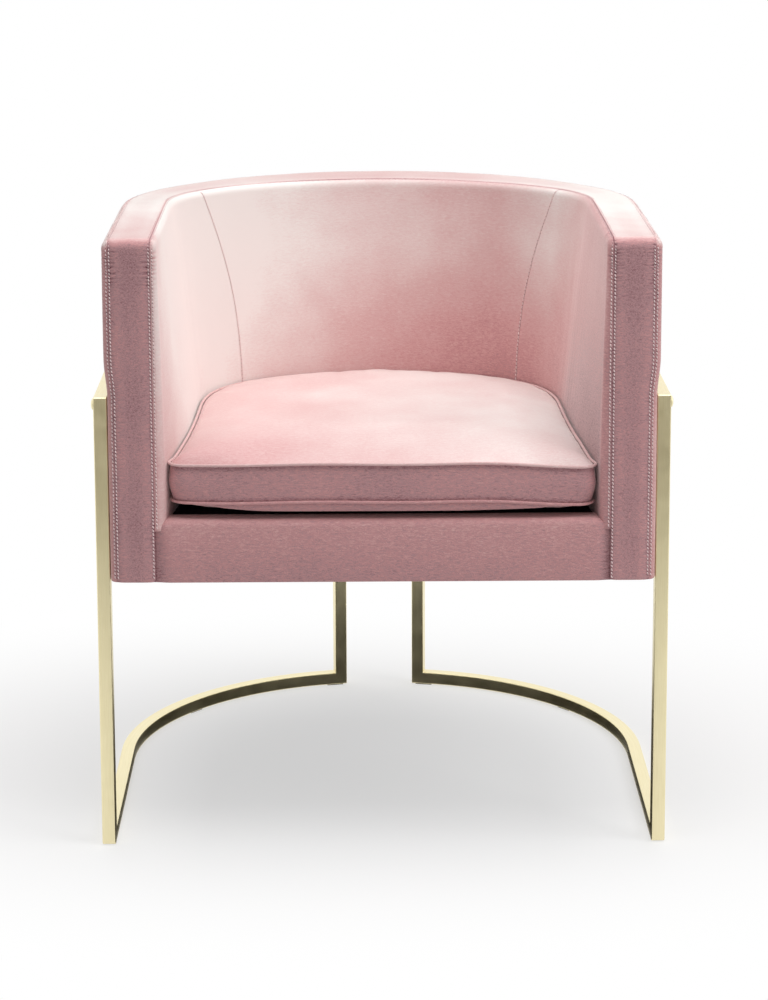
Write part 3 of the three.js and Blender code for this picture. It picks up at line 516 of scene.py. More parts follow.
def inner_wall(turn, z):
    """How far out the inside of the shell lies."""
    away = np.abs(turn)
    ahead = np.maximum(away - 1, 0)
    arm = SIDE_THICKNESS + (ARM_THICKNESS - SIDE_THICKNESS) * ahead
    thick = BACK_THICKNESS + (arm - BACK_THICKNESS) * smooth(away, 1 / 9, 7 / 9)
    full = BACK_FULLNESS + (SIDE_FULLNESS - BACK_FULLNESS) * smooth(away, 4 / 9, 1)
    full = full * (1 - FRONT_LEANNESS * np.exp((ahead - 1) * ARM_LENGTH / FULLNESS_LENGTH))
    return SHELL_RADIUS - thick - full * lowness(z)


outside = {"facing": 1, "wall": outer_wall, "edge": 11 * MM, "growth": 0, "seam": 0.78}
inside = {"facing": -1, "wall": inner_wall, "edge": 8 * MM, "growth": 4.5 * MM, "seam": 0.87}


def edge_radius(face, z):
    """The radius of a face's rounded edge, which may grow downwards."""
    return face["edge"] + face["growth"] * lowness(z)


def seam_reach(face, z=rim_height):
    """How far out the seam lies, measured from the centre of the arm's rounded corner."""
    return CORNER_RADIUS - edge_radius(face, z) * (1 - face["seam"] * QUARTER)


def skin(face, turn, ahead, z, above):
    """Points of a wall, with how far each lies ahead of and above the corner's centre."""
    turn, ahead, z, above = np.broadcast_arrays(turn, ahead, z, above)
    reach = np.maximum(ahead, above)
    lean = np.minimum(ahead, above) / np.maximum(reach, 1e-9) / 2
    reach = reach * seam_reach(face, z) / seam_reach(face)
    edge = edge_radius(face, z)
    direction = np.where(ahead > above, 1 - lean, lean) * QUARTER
    level = CORNER_RADIUS - edge
    angle = np.clip((reach - level) / edge, 0, QUARTER)
    out = np.minimum(reach, level) + edge * np.sin(angle)
    magnitude = np.abs(turn) + out * np.sin(direction) / ARM_LENGTH
    height = z + out * np.cos(direction)
    into = edge * (1 - np.cos(angle))
    radius = face["wall"](magnitude, height) - face["facing"] * into
    return on_plan(np.where(turn < 0, -1, 1) * magnitude, radius, settled(turn, height))

# %% [markdown]
# A top-stitched seam has a shape: the cloth dives into a narrow valley where the panels meet, a
# row of stitches on each side pulls it down at every needle hole, and the padding swells again
# further out. Where the strip turns over the arm's corner the stitches gather the cloth into
# puckers, which are narrow creases with round tops between them. How deep the cloth lies is also
# painted into its lie as shade: valleys and creases get a deeper tone, which stands for the shade
# that falls in them.
# The seam's allowance is a last row of points that turns straight in.

# %% The shape of a seam
STITCH_OFFSET = 2.0 * MM
STITCH_PITCH = 4.4 * MM
SEAM_TURN_IN = 4 * MM
VALLEY_DEPTH = 0.7 * MM
CREASE_DEPTH = 2.2 * MM
# Painted shade: each millimetre that the cloth lies below its smooth surface makes its lie this much deeper.
SHADE_BY_DEPTH = 0.22 / MM
near_seam = np.array([0, 0.4, 0.8, 1.3, 2.0, 2.8, 3.8, 5.2, 7, 9.2, 12]) * MM


def seam_profile(distance, along):
    """How far the cloth lies below its smooth surface at a distance from its seam."""
    held = 0.5 + 0.5 * np.cos(along / STITCH_PITCH * 4 * QUARTER)
    valley = VALLEY_DEPTH * (0.75 + 0.25 * held) * bell(distance, 1.1 * MM)
    holes = 0.6 * MM * held * bell(distance - STITCH_OFFSET, 1.1 * MM)
    return valley + holes - 0.35 * MM * bell(distance - 9 * MM, 6 * MM)


def puckers(distance, along, strength):
    """How deep the creases across a seam are, which start at its stitches."""
    phase = along / STITCH_PITCH * 2 * QUARTER + 1.6 * np.sin(along / (13 * MM)) + 0.9 * np.sin(along / (5 * MM))
    crease = (1 - np.abs(np.sin(phase)) ** 0.7) * (0.7 + 0.3 * np.sin(along / (9 * MM)))
    fade = np.exp(-np.maximum(distance - STITCH_OFFSET, 0) / (6 * MM))
    return CREASE_DEPTH * strength * crease * fade * smooth(distance, 0, STITCH_OFFSET)


def lined(points, normal, edges):
    """The grid with a row turned straight in along each named edge: top, left or right."""
    deeper = points - SEAM_TURN_IN * normal
    if "top" in edges:
        points = np.concatenate([points, deeper[-1:]], 0)
        deeper = np.concatenate([deeper, deeper[-1:]], 0)
    if "left" in edges:
        points = np.concatenate([deeper[:, :1], points], 1)
        deeper = np.concatenate([deeper[:, :1], deeper], 1)
    if "right" in edges:
        points = np.concatenate([points, deeper[:, -1:]], 1)
    return points


def padded_edges(values, edges, rows_before=0):
    """A grid of numbers repeated outwards to fit a grid of points that was lined or hemmed."""
    return np.pad(values, ((rows_before, "top" in edges), ("left" in edges, "right" in edges)), "edge")

# %% [markdown]
# A stitch is a short length of thread that bulges between two needle holes. Each row of them is
# one piece, made of small spindles laid along the line where the needle went. The thread is
# twisted, so each stitch lies a little askew. The shade in the needle holes between the stitches
# is painted: a second row of smaller, flatter spindles in the deepest tone of the velvet.

# %% Rows of stitches
SPINDLE_SIDES = 6
STITCH_SLANT = 0.3
STITCH_THICKNESS = 1.6 * MM
STITCH_LIFT = 0.7 * MM
HOLE_SHADE_WIDTH = 1.0 * MM
spindle_rings = [(-1, 0.2), (-0.7, 0.8), (0, 1), (0.7, 0.8), (1, 0.2)]


def beads(name, line, normal, places, length, thickness, lift, slant, material):
    """Small spindles at places along a line of points with normals, as one piece."""
    travel = travel_along(line)
    sample = lambda values, at: np.stack([np.interp(at, travel, values[:, k]) for k in range(3)], -1)
    centre, up = sample(line, places), sample(normal, places)
    ahead = sample(line, places + 1 * MM) - sample(line, places - 1 * MM)
    ahead /= np.linalg.norm(ahead, axis=1, keepdims=True)
    across = np.cross(up, ahead)
    across /= np.linalg.norm(across, axis=1, keepdims=True)
    ahead = ahead + slant * across
    angles = np.arange(SPINDLE_SIDES) / SPINDLE_SIDES * 4 * QUARTER
    points = []
    for reach, width in spindle_rings:
        middle = centre + ahead * reach * length / 2 + up * (lift - thickness / 2 * reach ** 2)
        for angle in angles:
            out = across * math.cos(angle) + up * math.sin(angle)
            points.append(middle + out * width * thickness / 2)
    points = np.array(points).transpose(1, 0, 2)
    one = grid_faces(len(spindle_rings), SPINDLE_SIDES, wrap=True).tolist()
    last = (len(spindle_rings) - 1) * SPINDLE_SIDES
    one += [list(range(SPINDLE_SIDES))[::-1], [last + k for k in range(SPINDLE_SIDES)]]
    size = len(spindle_rings) * SPINDLE_SIDES
    faces = [[corner + size * k for corner in face] for k in range(len(places)) for face in one]
    return piece_of(name, points, faces, material)


def stitches(name, line, normal, boldness=1.0, pitch=STITCH_PITCH):
    """A row of stitches along a line of points with normals; where less bold they sink in."""
    travel = travel_along(line)
    places = np.arange(pitch, travel[-1] - pitch / 2, pitch)
    bold = np.interp(places, travel, boldness + 0 * travel)[:, None]
    lift = STITCH_LIFT * (2 * bold - 1)
    finish_piece(beads(name, line, normal, places, 0.78 * pitch * bold, STITCH_THICKNESS * bold, lift,
                       STITCH_SLANT, thread_polyester), "chair")
    # Painted shade in the needle holes: flat spindles that carry no lie, so they take the velvet's deepest tone.
    finish_piece(beads(name + "_painted_hole_shade", line, normal, places + pitch / 2, HOLE_SHADE_WIDTH * np.sqrt(bold),
                       HOLE_SHADE_WIDTH * np.sqrt(bold), 0 * lift, 0, velvet_rose), "chair")


# %% [markdown]
# The outside cover is one sheet: under the shell's bottom edge, up, and over the rounded edge to
# the seam. Its lower edge is pulled round the frame and stapled underneath, so the grid ends in
# a small round hem and a flat flange.

# %% The outside cover
HEM_RADIUS = 2 * MM
HEM_FLANGE = 16 * MM
FINE_ROWS = 70 * MM
OUTSIDE_LIE = 0.5
OUTSIDE_RIM_PAINTED_LIGHT = 0.35
upright_of = np.array([0, 0, 1.0])


def hemmed(points, normal):
    """The grid with a round hem and a flange under it, before its first row."""
    foot, out = points[:1], normal[:1] * [1, 1, 0]
    rows = [foot - out * (HEM_RADIUS + HEM_FLANGE) - upright_of * HEM_RADIUS]
    for degrees in (90, 60, 30):
        angle = math.radians(degrees)
        rows.append(foot - out * HEM_RADIUS * (1 - math.cos(angle))
                    - upright_of * HEM_RADIUS * math.sin(angle))
    return np.concatenate([*rows, points], 0)


def excess_steps(face):
    """Steps from the corner's centre out to the seam, close together near the seam."""
    reach = seam_reach(face)
    close = reach - near_seam[near_seam < reach - 1 * MM]
    return np.concatenate([[reach / 9], close[::-1]])


def plan_columns(face, spacing):
    """Turns and excesses of the columns from the left arm's seam round to the right arm's."""
    steps = excess_steps(face)
    reach = corner_turn
    count = int(2 * (QUARTER * SHELL_RADIUS + (corner_turn - 1) * ARM_LENGTH) / spacing)
    turns = np.concatenate([np.full(len(steps), -reach), np.linspace(-reach, reach, count),
                            np.full(len(steps), reach)])
    ahead = np.concatenate([steps[::-1], np.zeros(count), steps])
    return turns, ahead


def wall_rows(face, bottom, spacing):
    """Heights and excesses of the rows up to the rim's seam, close together near the rim."""
    steps = excess_steps(face)
    fine_from = corner_height - FINE_ROWS
    low = np.linspace(bottom, fine_from, int((fine_from - bottom) / spacing), endpoint=False)
    fine = np.linspace(fine_from, corner_height, int(FINE_ROWS / (1.3 * MM)))
    z = np.concatenate([low, fine, np.full(len(steps), corner_height)])
    above = np.concatenate([np.zeros(len(low) + len(fine)), steps])
    return z[:, None], above[:, None]


turns, ahead = plan_columns(outside, 2.2 * MM)
z, above = wall_rows(outside, shell_bottom + HEM_RADIUS, 5 * MM)
cover = skin(outside, turns, ahead, z, above)
cover_out = normals_of(cover, cover - [0, bend_y - 0.1, 0.4])
rim_gap = seam_reach(outside) - above + corner_height - z
front_gap = seam_reach(outside) - ahead + (corner_turn - np.abs(turns)) * ARM_LENGTH
gap = np.minimum(rim_gap, front_gap)
along = np.where(rim_gap < front_gap, turns * QUARTER * SHELL_RADIUS, z)
near_corner = bell(np.maximum(rim_gap, front_gap) - 30 * MM, 26 * MM)
depth = seam_profile(gap, along) + puckers(gap, along, 0.06 + 0.9 * near_corner)
cover = cover + cover_out * (0.5 * MM * rough_field(cover, 120 * MM, 3.1) - depth)[..., None]
stitch_row = int(np.argmin(np.abs(rim_gap[:, 0] - STITCH_OFFSET)))
edges = ("top", "left", "right")
skin_cover = lined(hemmed(cover, cover_out), np.concatenate([cover_out[:1]] * 4 + [cover_out], 0), edges)
# Painted light and shade: the cover's lie is paler near the rim, whose top faces the light, and deeper in its
# valleys and creases.
cover_lie = OUTSIDE_LIE + OUTSIDE_RIM_PAINTED_LIGHT * (1 - smooth(rim_gap, 3 * MM, 16 * MM))
cover_lie = brushed(cover, cover_lie, 3.7) - SHADE_BY_DEPTH * depth
outside_piece = panel("outside_cover_velvet", skin_cover, skin_cover - [0, bend_y - 0.1, 0.4], velvet_rose,
                      lie=padded_edges(cover_lie, edges, rows_before=4))
finish_piece(outside_piece, "chair", ["outside_cover"])
print("outside cover", cover.shape[1], "by", cover.shape[0], "points")

# %% [markdown]
# The border strip is what the eye sees first: it climbs the arm's front, turns the corner, runs
# all round the rim and down the other arm. Its grid follows that path, and across it the points
# are spaced by their distance from the two seams.

# %% The border strip
STRIP_CROWN_ARM = 1.2 * MM
STRIP_CROWN_RIM = 0.3 * MM
STRIP_MIDDLE_ROWS = 10
STATIONS_UP = 360
STATIONS_BEND = 26
STATIONS_RIM = 1100
STRIP_LIE_ARM = 0.31
rim_lie_turns = [-2, -1, 0, 1, 2]
rim_painted_light_lies = [0.77, 0.91, 0.72, 1.0, 0.8]
RIM_SOFTNESS = 0.5
RIM_LINE_SHADE = 0.6
RIM_LINE_WIDTH = 0.8 * MM


def strip_grid(turn, z, corner, distance):
    """Points across the strip at a distance from its outer seam, and the strip's whole width."""
    direction = corner * QUARTER
    reach = CORNER_RADIUS
    magnitude = np.abs(turn) + reach * np.sin(direction) / ARM_LENGTH
    height = z + reach * np.cos(direction)
    outer, inner = outer_wall(magnitude, height), inner_wall(np.minimum(magnitude, 2), height)
    over = outside["edge"] * (1 - outside["seam"]) * QUARTER
    inner_edge = edge_radius(inside, z)
    under = inner_edge * (1 - inside["seam"]) * QUARTER
    level = outer - outside["edge"] - inner - inner_edge
    whole = over + level + under
    first = np.clip(distance, 0, over)
    second = np.clip(distance - over, 0, level)
    third = np.clip(distance - over - level, 0, under)
    outer_angle = outside["seam"] * QUARTER + first / outside["edge"]
    inner_angle = QUARTER - third / inner_edge
    crown = STRIP_CROWN_RIM + (STRIP_CROWN_ARM - STRIP_CROWN_RIM) * corner
    crown = crown * np.sin(np.clip(second / level, 0, 1) * 2 * QUARTER) ** 0.7
    in_first, in_third = distance < over, distance > over + level
    radius = np.where(in_first, outer - outside["edge"] * (1 - np.cos(outer_angle)),
                      np.where(in_third, inner + inner_edge * (1 - np.cos(inner_angle)),
                               outer - outside["edge"] - second))
    out = np.where(in_first, reach - outside["edge"] * (1 - np.sin(outer_angle)),
                   np.where(in_third, reach - inner_edge * (1 - np.sin(inner_angle)), reach + crown))
    magnitude = np.abs(turn) + out * np.sin(direction) / ARM_LENGTH
    side = np.where(turn < 0, -1, 1)
    return on_plan(side * magnitude, radius, settled(turn, z + out * np.cos(direction))), whole


def strip_stations():
    """Turn, height and corner share of each station, from the left arm's foot to the right's."""
    up = np.linspace(shell_bottom + HEM_RADIUS, corner_height, STATIONS_UP)
    bend = np.linspace(1, 0, STATIONS_BEND)[1:-1]
    rim = np.linspace(-corner_turn, corner_turn, STATIONS_RIM)
    fixed = np.full(len(up) + len(bend), corner_turn)
    turn = np.concatenate([-fixed, rim, fixed])
    height = np.concatenate([up, np.full(len(bend) * 2 + len(rim), corner_height), up[::-1]])
    corner = np.concatenate([np.ones(len(up)), bend, np.zeros(len(rim)), bend[::-1], np.ones(len(up))])
    return turn, height, corner


turn, height, corner = (values[None, :] for values in strip_stations())
_, whole = strip_grid(turn, height, corner, 0)
middle_share = np.linspace(0, 1, STRIP_MIDDLE_ROWS + 2)[1:-1, None]
rows = [near_seam[:, None] + 0 * whole,
        near_seam[-1] + (whole - 2 * near_seam[-1]) * middle_share,
        whole - near_seam[::-1, None]]
distance = np.concatenate(rows, 0)
strip, _ = strip_grid(turn, height, corner, distance)
strip_up = normals_of(strip, np.where(corner[..., None] > 0.5, [0, -1.0, 0], [0, 0, 1.0]))
travel = travel_along(strip[len(near_seam)])[None, :]
corner_places = travel[0, [STATIONS_UP - 1, STATIONS_UP + 2 * STATIONS_BEND + STATIONS_RIM - 5]]
corner_pull = (bell(travel - corner_places[0] + 20 * MM, 24 * MM)
               + bell(travel - corner_places[1] - 20 * MM, 24 * MM))
edge_distance = np.minimum(distance, whole - distance)
on_rim = 1 - corner
depth = (seam_profile(edge_distance, travel) * (1 - RIM_SOFTNESS * on_rim)
         + puckers(edge_distance, travel, 0.06 + 1.1 * corner_pull))
strip = strip + strip_up * (0.4 * MM * rough_field(strip, 70 * MM, 7.7) - depth)[..., None]
outer_row = int(np.argmin(np.abs(near_seam - STITCH_OFFSET)))
# Painted light and shade: the strip's lie is deep down the arm fronts and paler along the rim, whose top faces
# the light, palest round the right bend; a thin line of painted shade runs along the inner seam, and valleys and
# creases are deeper.
rim_painted_light_lie = np.interp(turn, rim_lie_turns, rim_painted_light_lies)
strip_lie = STRIP_LIE_ARM + (rim_painted_light_lie - STRIP_LIE_ARM) * smooth(on_rim, 0, 1)
strip_lie = strip_lie - RIM_LINE_SHADE * on_rim * bell(whole - distance, RIM_LINE_WIDTH)
strip_lie = brushed(strip, strip_lie, 8.3, 0.6) - SHADE_BY_DEPTH * depth


def turned_under(points, normal, row):
    """A flange that folds the end of the strip under the shell, at one end of its columns."""
    foot, out = points[:, row], normal[:, row] * [1, 1, 0]
    return [foot - out * HEM_RADIUS * (1 - math.cos(angle)) - upright_of * HEM_RADIUS * math.sin(angle)
            for angle in (QUARTER / 3, QUARTER * 2 / 3, QUARTER)] + [
                foot - out * (HEM_RADIUS + HEM_FLANGE) - upright_of * HEM_RADIUS]


strip_skin = np.concatenate([strip[:1] - SEAM_TURN_IN * strip_up[:1], strip,
                             strip[-1:] - SEAM_TURN_IN * strip_up[-1:]], 0)
normal_skin = np.concatenate([strip_up[:1], strip_up, strip_up[-1:]], 0)
left_end = np.stack(turned_under(strip_skin, normal_skin, 0)[::-1], 1)
right_end = np.stack(turned_under(strip_skin, normal_skin, -1), 1)
strip_skin = np.concatenate([left_end, strip_skin, right_end], 1)
flat_toward = np.zeros_like(strip_skin)
flat_toward[:, 4:-4] = normal_skin
strip_piece = panel("border_strip_velvet", strip_skin, flat_toward, velvet_rose, across=True,
                    lie=np.pad(strip_lie, ((1, 1), (4, 4)), "edge"))
finish_piece(strip_piece, "chair", ["border_strip", "border_foam"])
print("border strip", round(float(travel[0, -1]), 2), "m long")

# %% [markdown]
# Three panels line the inside: the back and two arms. The seams between them lean outwards as
# they rise, in a curve that is steepest near the seat. Where the flat cloth is bent round the
# hollow of the tub it forms long soft folds, a fraction of a millimetre deep.

# %% The inside panels
SEAM_TOP_TURN = 0.69
SEAM_FOOT_TURN = 0.54
SEAM_CURVE = 2.2
SEAM_DEPTH = 0.3 * MM
FOLD_PITCH = 38 * MM
FOLD_DEPTH = 0.12 * MM
inside_lie_turns = [-2.0, -1.6, -1.2, -0.7, -0.45, 0, 0.45, 0.7, 1.1, 1.5, 2.0]
inside_painted_light_lies = [0.8, 1.02, 1.16, 1.16, 1.02, 0.83, 0.75, 0.88, 0.57, 0.53, 0.52]
ROLL_PAINTED_LIGHT_LIE = 0.4
LOW_PAINTED_SHADE_LEFT = 0.15
LOW_PAINTED_SHADE_RIGHT = 0.3
rail_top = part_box("front_rail_cover")[1].z
inside_foot = rail_top - 12 * MM
edges = ("top", "left", "right")


def seam_turn(z):
    """How far round the seam between back and arm lies at a height."""
    rise = np.clip((z - welt_high) / (rim_height - welt_high), 0, 1)
    return SEAM_FOOT_TURN + (SEAM_TOP_TURN - SEAM_FOOT_TURN) * rise ** SEAM_CURVE


def inside_panel(name, spread, ahead, solids):
    """One inside panel; spread gives each column's turn from the turn of the seam."""
    z, above = wall_rows(inside, inside_foot, 3.5 * MM)
    seam = seam_turn(z + above)
    turns = spread(seam)
    ahead, z, above = (values + 0 * turns for values in (ahead, z, above))
    points = skin(inside, turns, ahead, z, above)
    outward = normals_of(points, np.array([0, bend_y + 0.02, 0.55]) - points)
    rim_gap = seam_reach(inside) - above + corner_height - z
    front_gap = seam_reach(inside) - ahead + (corner_turn - np.abs(turns)) * ARM_LENGTH
    side_gap = np.abs(np.abs(turns) - seam) * QUARTER * inner_wall(turns, z)
    edge_gap = np.minimum(rim_gap, front_gap)
    travel = np.where(rim_gap < front_gap, turns * QUARTER * SHELL_RADIUS, z)
    near_rim = 1 - RIM_SOFTNESS * smooth(front_gap - rim_gap, 0, 30 * MM)
    near_corner = bell(np.maximum(rim_gap, front_gap) - 30 * MM, 26 * MM)
    depth = (seam_profile(edge_gap, travel) * near_rim
             + puckers(edge_gap, travel, 0.06 + 1.1 * near_corner)
             + SEAM_DEPTH * bell(side_gap, 1.6 * MM))
    wander = 2 * rough_field(points, 150 * MM, 1.2)
    folds = np.sin(turns * QUARTER * SHELL_RADIUS / FOLD_PITCH * 4 * QUARTER + wander)
    bent = smooth(np.abs(turns), 0.55, 0.9) * (1 - smooth(np.abs(turns), 1.1, 1.6))
    soft = (0.7 * MM * rough_field(points, 90 * MM, 5.5)
            + FOLD_DEPTH * folds * bent * smooth(edge_gap, 20 * MM, 100 * MM))
    points = points + outward * (soft - depth)[..., None]
    # Painted light and shade: the lie is paler on the left, which the right softbox lights, and deeper on the
    # right; deeper again low down towards the seat, more so on the right, where shade falls; kept at least as
    # pale as ROLL_PAINTED_LIGHT_LIE on the arms' front rolls; and deeper along the rim seam and in valleys and
    # creases.
    lie = np.interp(turns, inside_lie_turns, inside_painted_light_lies)
    low_painted_shade = LOW_PAINTED_SHADE_LEFT + (LOW_PAINTED_SHADE_RIGHT - LOW_PAINTED_SHADE_LEFT) * smooth(turns, -0.2, 0.5)
    lie = lie - low_painted_shade * (1 - smooth(z, welt_high, rim_height - 60 * MM))
    on_roll = 1 - smooth(front_gap, 12 * MM, 26 * MM)
    lie = lie + np.maximum(ROLL_PAINTED_LIGHT_LIE - lie, 0) * on_roll
    lie = lie - RIM_LINE_SHADE * bell(rim_gap, RIM_LINE_WIDTH)
    lie = brushed(points, lie, 6.1, 0.6) - SHADE_BY_DEPTH * depth
    lined_up = lined(points, outward, edges)
    piece = panel(name, lined_up, np.array([0, bend_y - 0.05, 0.55]) - lined_up, velvet_rose,
                  lie=padded_edges(lie, edges))
    finish_piece(piece, "chair", solids)
    return points, outward


arm_steps = excess_steps(inside)
back_shares = np.concatenate([np.linspace(0, 0.97, 110), 0.97 + np.linspace(0, 0.03, 7)[1:]])
back_shares = np.concatenate([-back_shares[:0:-1], back_shares])
inside_above = wall_rows(inside, inside_foot, 3.5 * MM)[1][:, 0]
rim_row = int(np.argmin(np.abs(seam_reach(inside) - inside_above - STITCH_OFFSET)))
back, back_out = inside_panel("inside_back_velvet", lambda seam: seam * back_shares[None, :], 0,
                              ["inside_back_cover", "inside_back_foam"])

arm_shares = np.concatenate([np.linspace(0, 0.975, 150), 0.975 + np.linspace(0, 0.025, 7)[1:]])
front_column = int(np.argmin(np.abs(seam_reach(inside) - arm_steps[::-1] - STITCH_OFFSET)))
arm_ahead = np.concatenate([arm_steps[::-1], np.zeros(len(arm_shares))])[None, :]
arms = {}
for side, name in ((-1, "left"), (1, "right")):
    def arm_turns(seam):
        """Turns of an arm's columns, from its front back to the seam."""
        front = np.full((len(seam), len(arm_steps)), corner_turn)
        return side * np.concatenate([front, corner_turn + (seam - corner_turn) * arm_shares], 1)

    arms[name] = inside_panel(f"inside_arm_velvet_{name}", arm_turns, arm_ahead,
                              [f"inside_arm_cover_{name}", f"inside_arm_foam_{name}"])
print("inside panels of", back.shape[1], "and", len(arm_ahead[0]), "columns")

# %% [markdown]
# Every row of stitches follows a line of points of its panel. On the arm fronts, where the strip
# is pulled tight, the thread stands up and catches the light. Along the rim it sinks into the
# pile and nearly disappears.

# %% Stitch the seams
RIM_BOLDNESS = 0.5
BACK_SEAM_PITCH = 5 * MM


def boldness_of(line):
    """1 down the arm's front, less along the rim."""
    return 1 - (1 - RIM_BOLDNESS) * smooth(line[:, 2], rim_height - 14 * MM, rim_height - 8 * MM)


def up_and_along(grid, column):
    """A line up a column of a grid to the rim's stitch row, and from there to the row's end."""
    return np.concatenate([grid[:rim_row, column], grid[rim_row, column:]], 0)


stitches("stitches_inside_rim_back", back[rim_row], back_out[rim_row], RIM_BOLDNESS)
for name, (arm, arm_out) in arms.items():
    line = up_and_along(arm, front_column)
    stitches(f"stitches_inside_rim_{name}", line, up_and_along(arm_out, front_column), boldness_of(line))
    stitches(f"stitches_back_seam_{name}", arm[:rim_row, -1], arm_out[:rim_row, -1], 1.0, BACK_SEAM_PITCH)
for name, row in (("outer", outer_row), ("inner", -1 - outer_row)):
    stitches(f"stitches_strip_{name}", strip[row], strip_up[row], boldness_of(strip[row]))
first, last = (int(np.argmin(np.abs(seam_reach(outside) - ahead - STITCH_OFFSET) + (turns * side < 0)))
               for side in (-1, 1))
runs = [np.concatenate([grid[:stitch_row, first], grid[stitch_row, first:last], grid[:stitch_row, last][::-1]])
        for grid in (cover, cover_out)]
stitches("stitches_outside", *runs, boldness_of(runs[0]))

# %% [markdown]
# The front rail under the seat is padded and wrapped. Its cover swells a little in the middle,
# rolls over the top edge to run back under the cushion, and is tucked in beside the arms, which
# pulls its top corners down.

# %% The front rail
RAIL_ROLL = 7 * MM
RAIL_DEPTH = 30 * MM
RAIL_SWELL = 2.2 * MM
RAIL_DIP = 5 * MM
RAIL_DROP = 1.2 * MM
RAIL_ROWS = 24
RAIL_LIE = 0.44
rail_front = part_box("front_rail_cover")[0].y
rail_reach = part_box("front_rail_cover")[1].x + 2 * MM

across = np.linspace(-rail_reach, rail_reach, 260)[None, :]
tuck = smooth(np.abs(across), rail_reach - 22 * MM, rail_reach) ** 1.5
front_z = np.linspace(shell_bottom + HEM_RADIUS - RAIL_DROP, rail_top - RAIL_ROLL, RAIL_ROWS)
roll = np.linspace(0, QUARTER, 12)[1:]
run_back = np.linspace(RAIL_ROLL, RAIL_DEPTH, 8)[1:]
rail_y = np.concatenate([np.zeros(RAIL_ROWS), RAIL_ROLL * (1 - np.cos(roll)), run_back])[:, None]
rail_z = np.concatenate([front_z, rail_top - RAIL_ROLL * (1 - np.sin(roll)), np.full(7, rail_top)])[:, None]
rise = np.clip((rail_z - shell_bottom) / (rail_top - shell_bottom), 0, 1)
swell = RAIL_SWELL * np.sin(rise * 2 * QUARTER) ** 0.8
rail = np.stack(np.broadcast_arrays(across, rail_front + rail_y - swell * (1 - tuck) + 2.5 * MM * tuck,
                                    rail_z - RAIL_DIP * tuck * rise ** 2), -1)
rail = rail + 0.5 * MM * rough_field(rail, 60 * MM, 9.4)[..., None] * [0, -1, 0.3]
rail_out = normals_of(rail, [0, -1, 0.5])
# Painted light and shade: the rail's lie is paler towards its top, which faces the light, and deeper at its
# tucked ends, where shade falls.
rail_lie = RAIL_LIE - 0.06 + 0.12 * rise
rail_lie = brushed(rail, rail_lie, 2.2, 0.5) - 0.2 * tuck
rail_piece = panel("front_rail_velvet", hemmed(rail, rail_out), [0, -1, 0.5], velvet_rose,
                   lie=padded_edges(rail_lie, (), rows_before=4))
finish_piece(rail_piece, "chair", ["front_rail_cover", "front_rail_foam"])
print("front rail", round(2 * rail_reach / MM), "mm wide")

# %% [markdown]
# Under the cushion the seat is covered with plain dark lining cloth over a thin pad, on straps of
# jute webbing that cross over and under each other. Under the frame a spunbonded dust cloth is
# stapled all round. None of this shows until the cushion is lifted or the chair turned over, and
# it is there for those who look.

# %% The deck and the webbing
CUSHION_CLEARANCE = 2.5 * MM
deck_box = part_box("deck_cloth")


def seat_outline(clearance, front, count):
    """The seat's plan: along the inner wall less a clearance, then straight across the front."""
    last = 1 + (bend_y - front) / ARM_LENGTH
    turns = np.linspace(-last, last, count)
    return on_plan(turns, inner_wall(turns, rail_top) - clearance, 0)


def dome(name, outline, foot, rise, material, sign=1):
    """A shallow domed sheet over a closed outline."""
    middle = outline.mean(0)
    shares = np.linspace(1, 0.02, 24)
    rings = middle + (outline - middle) * shares[:, None, None]
    rings[..., 2] = foot + sign * rise * (1 - shares[:, None] ** 2.6)
    faces = grid_faces(*rings.shape[:2], wrap=True)
    last = (len(shares) - 1) * len(outline)
    if sign > 0:
        faces = faces[:, ::-1]
    cap = [last + k for k in range(len(outline))]
    piece = piece_of(name, rings, faces.tolist() + [cap if sign < 0 else cap[::-1]], material)
    solid = piece.modifiers.new("thickness", "SOLIDIFY")
    solid.thickness = 0.7 * MM
    solid.offset = -1
    return piece


deck = dome("deck_lining", seat_outline(0.3 * MM, deck_box[0].y, 160), deck_box[0].z,
            deck_box[1].z - deck_box[0].z, cloth_lining)
finish_piece(deck, "chair", ["deck_cloth", "seat_pad"])


def strap(node, axis):
    """A webbing strap in the place of its node, woven over and under the straps it crosses."""
    low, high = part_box(node)
    length, width = (high - low)[axis], (high - low)[1 - axis]
    along, across = np.meshgrid(np.linspace(0, length, 120), np.linspace(0, width, 9), indexing="ij")
    wave = 0.25 * MM * np.sin(along / (70 * MM) * 2 * QUARTER)
    points = np.zeros((*along.shape, 3))
    points[..., axis] = low[axis] + along
    points[..., 1 - axis] = low[1 - axis] + across
    points[..., 2] = (low.z + high.z) / 2 + wave
    piece = panel(node + "_jute", points, np.array([0, 0, 1.0]), webbing_jute, thickness=1.0 * MM)
    return finish_piece(piece, "chair", [node])


for place in ("left", "middle", "right"):
    strap(f"webbing_long_{place}", 1)
for place in ("front", "middle", "rear"):
    strap(f"webbing_cross_{place}", 0)

# %% The dust cloth and its staples
DUST_INSET = 14 * MM
DUST_LAST_TURN = 1.93
STAPLE_PITCH = 38 * MM
STAPLE_WIDTH = 10 * MM
STAPLE_WIRE = 1.2 * MM
dust_turns = np.linspace(-DUST_LAST_TURN, DUST_LAST_TURN, 180)
dust_outline = on_plan(dust_turns, SHELL_RADIUS - DUST_INSET, 0)
dust = dome("dust_cloth", dust_outline, shell_bottom - 0.4 * MM, 2.5 * MM, cloth_spunbond, sign=-1)
finish_piece(dust, "chair", ["dust_cover"])
x, y = dust_outline[:, 0], dust_outline[:, 1]

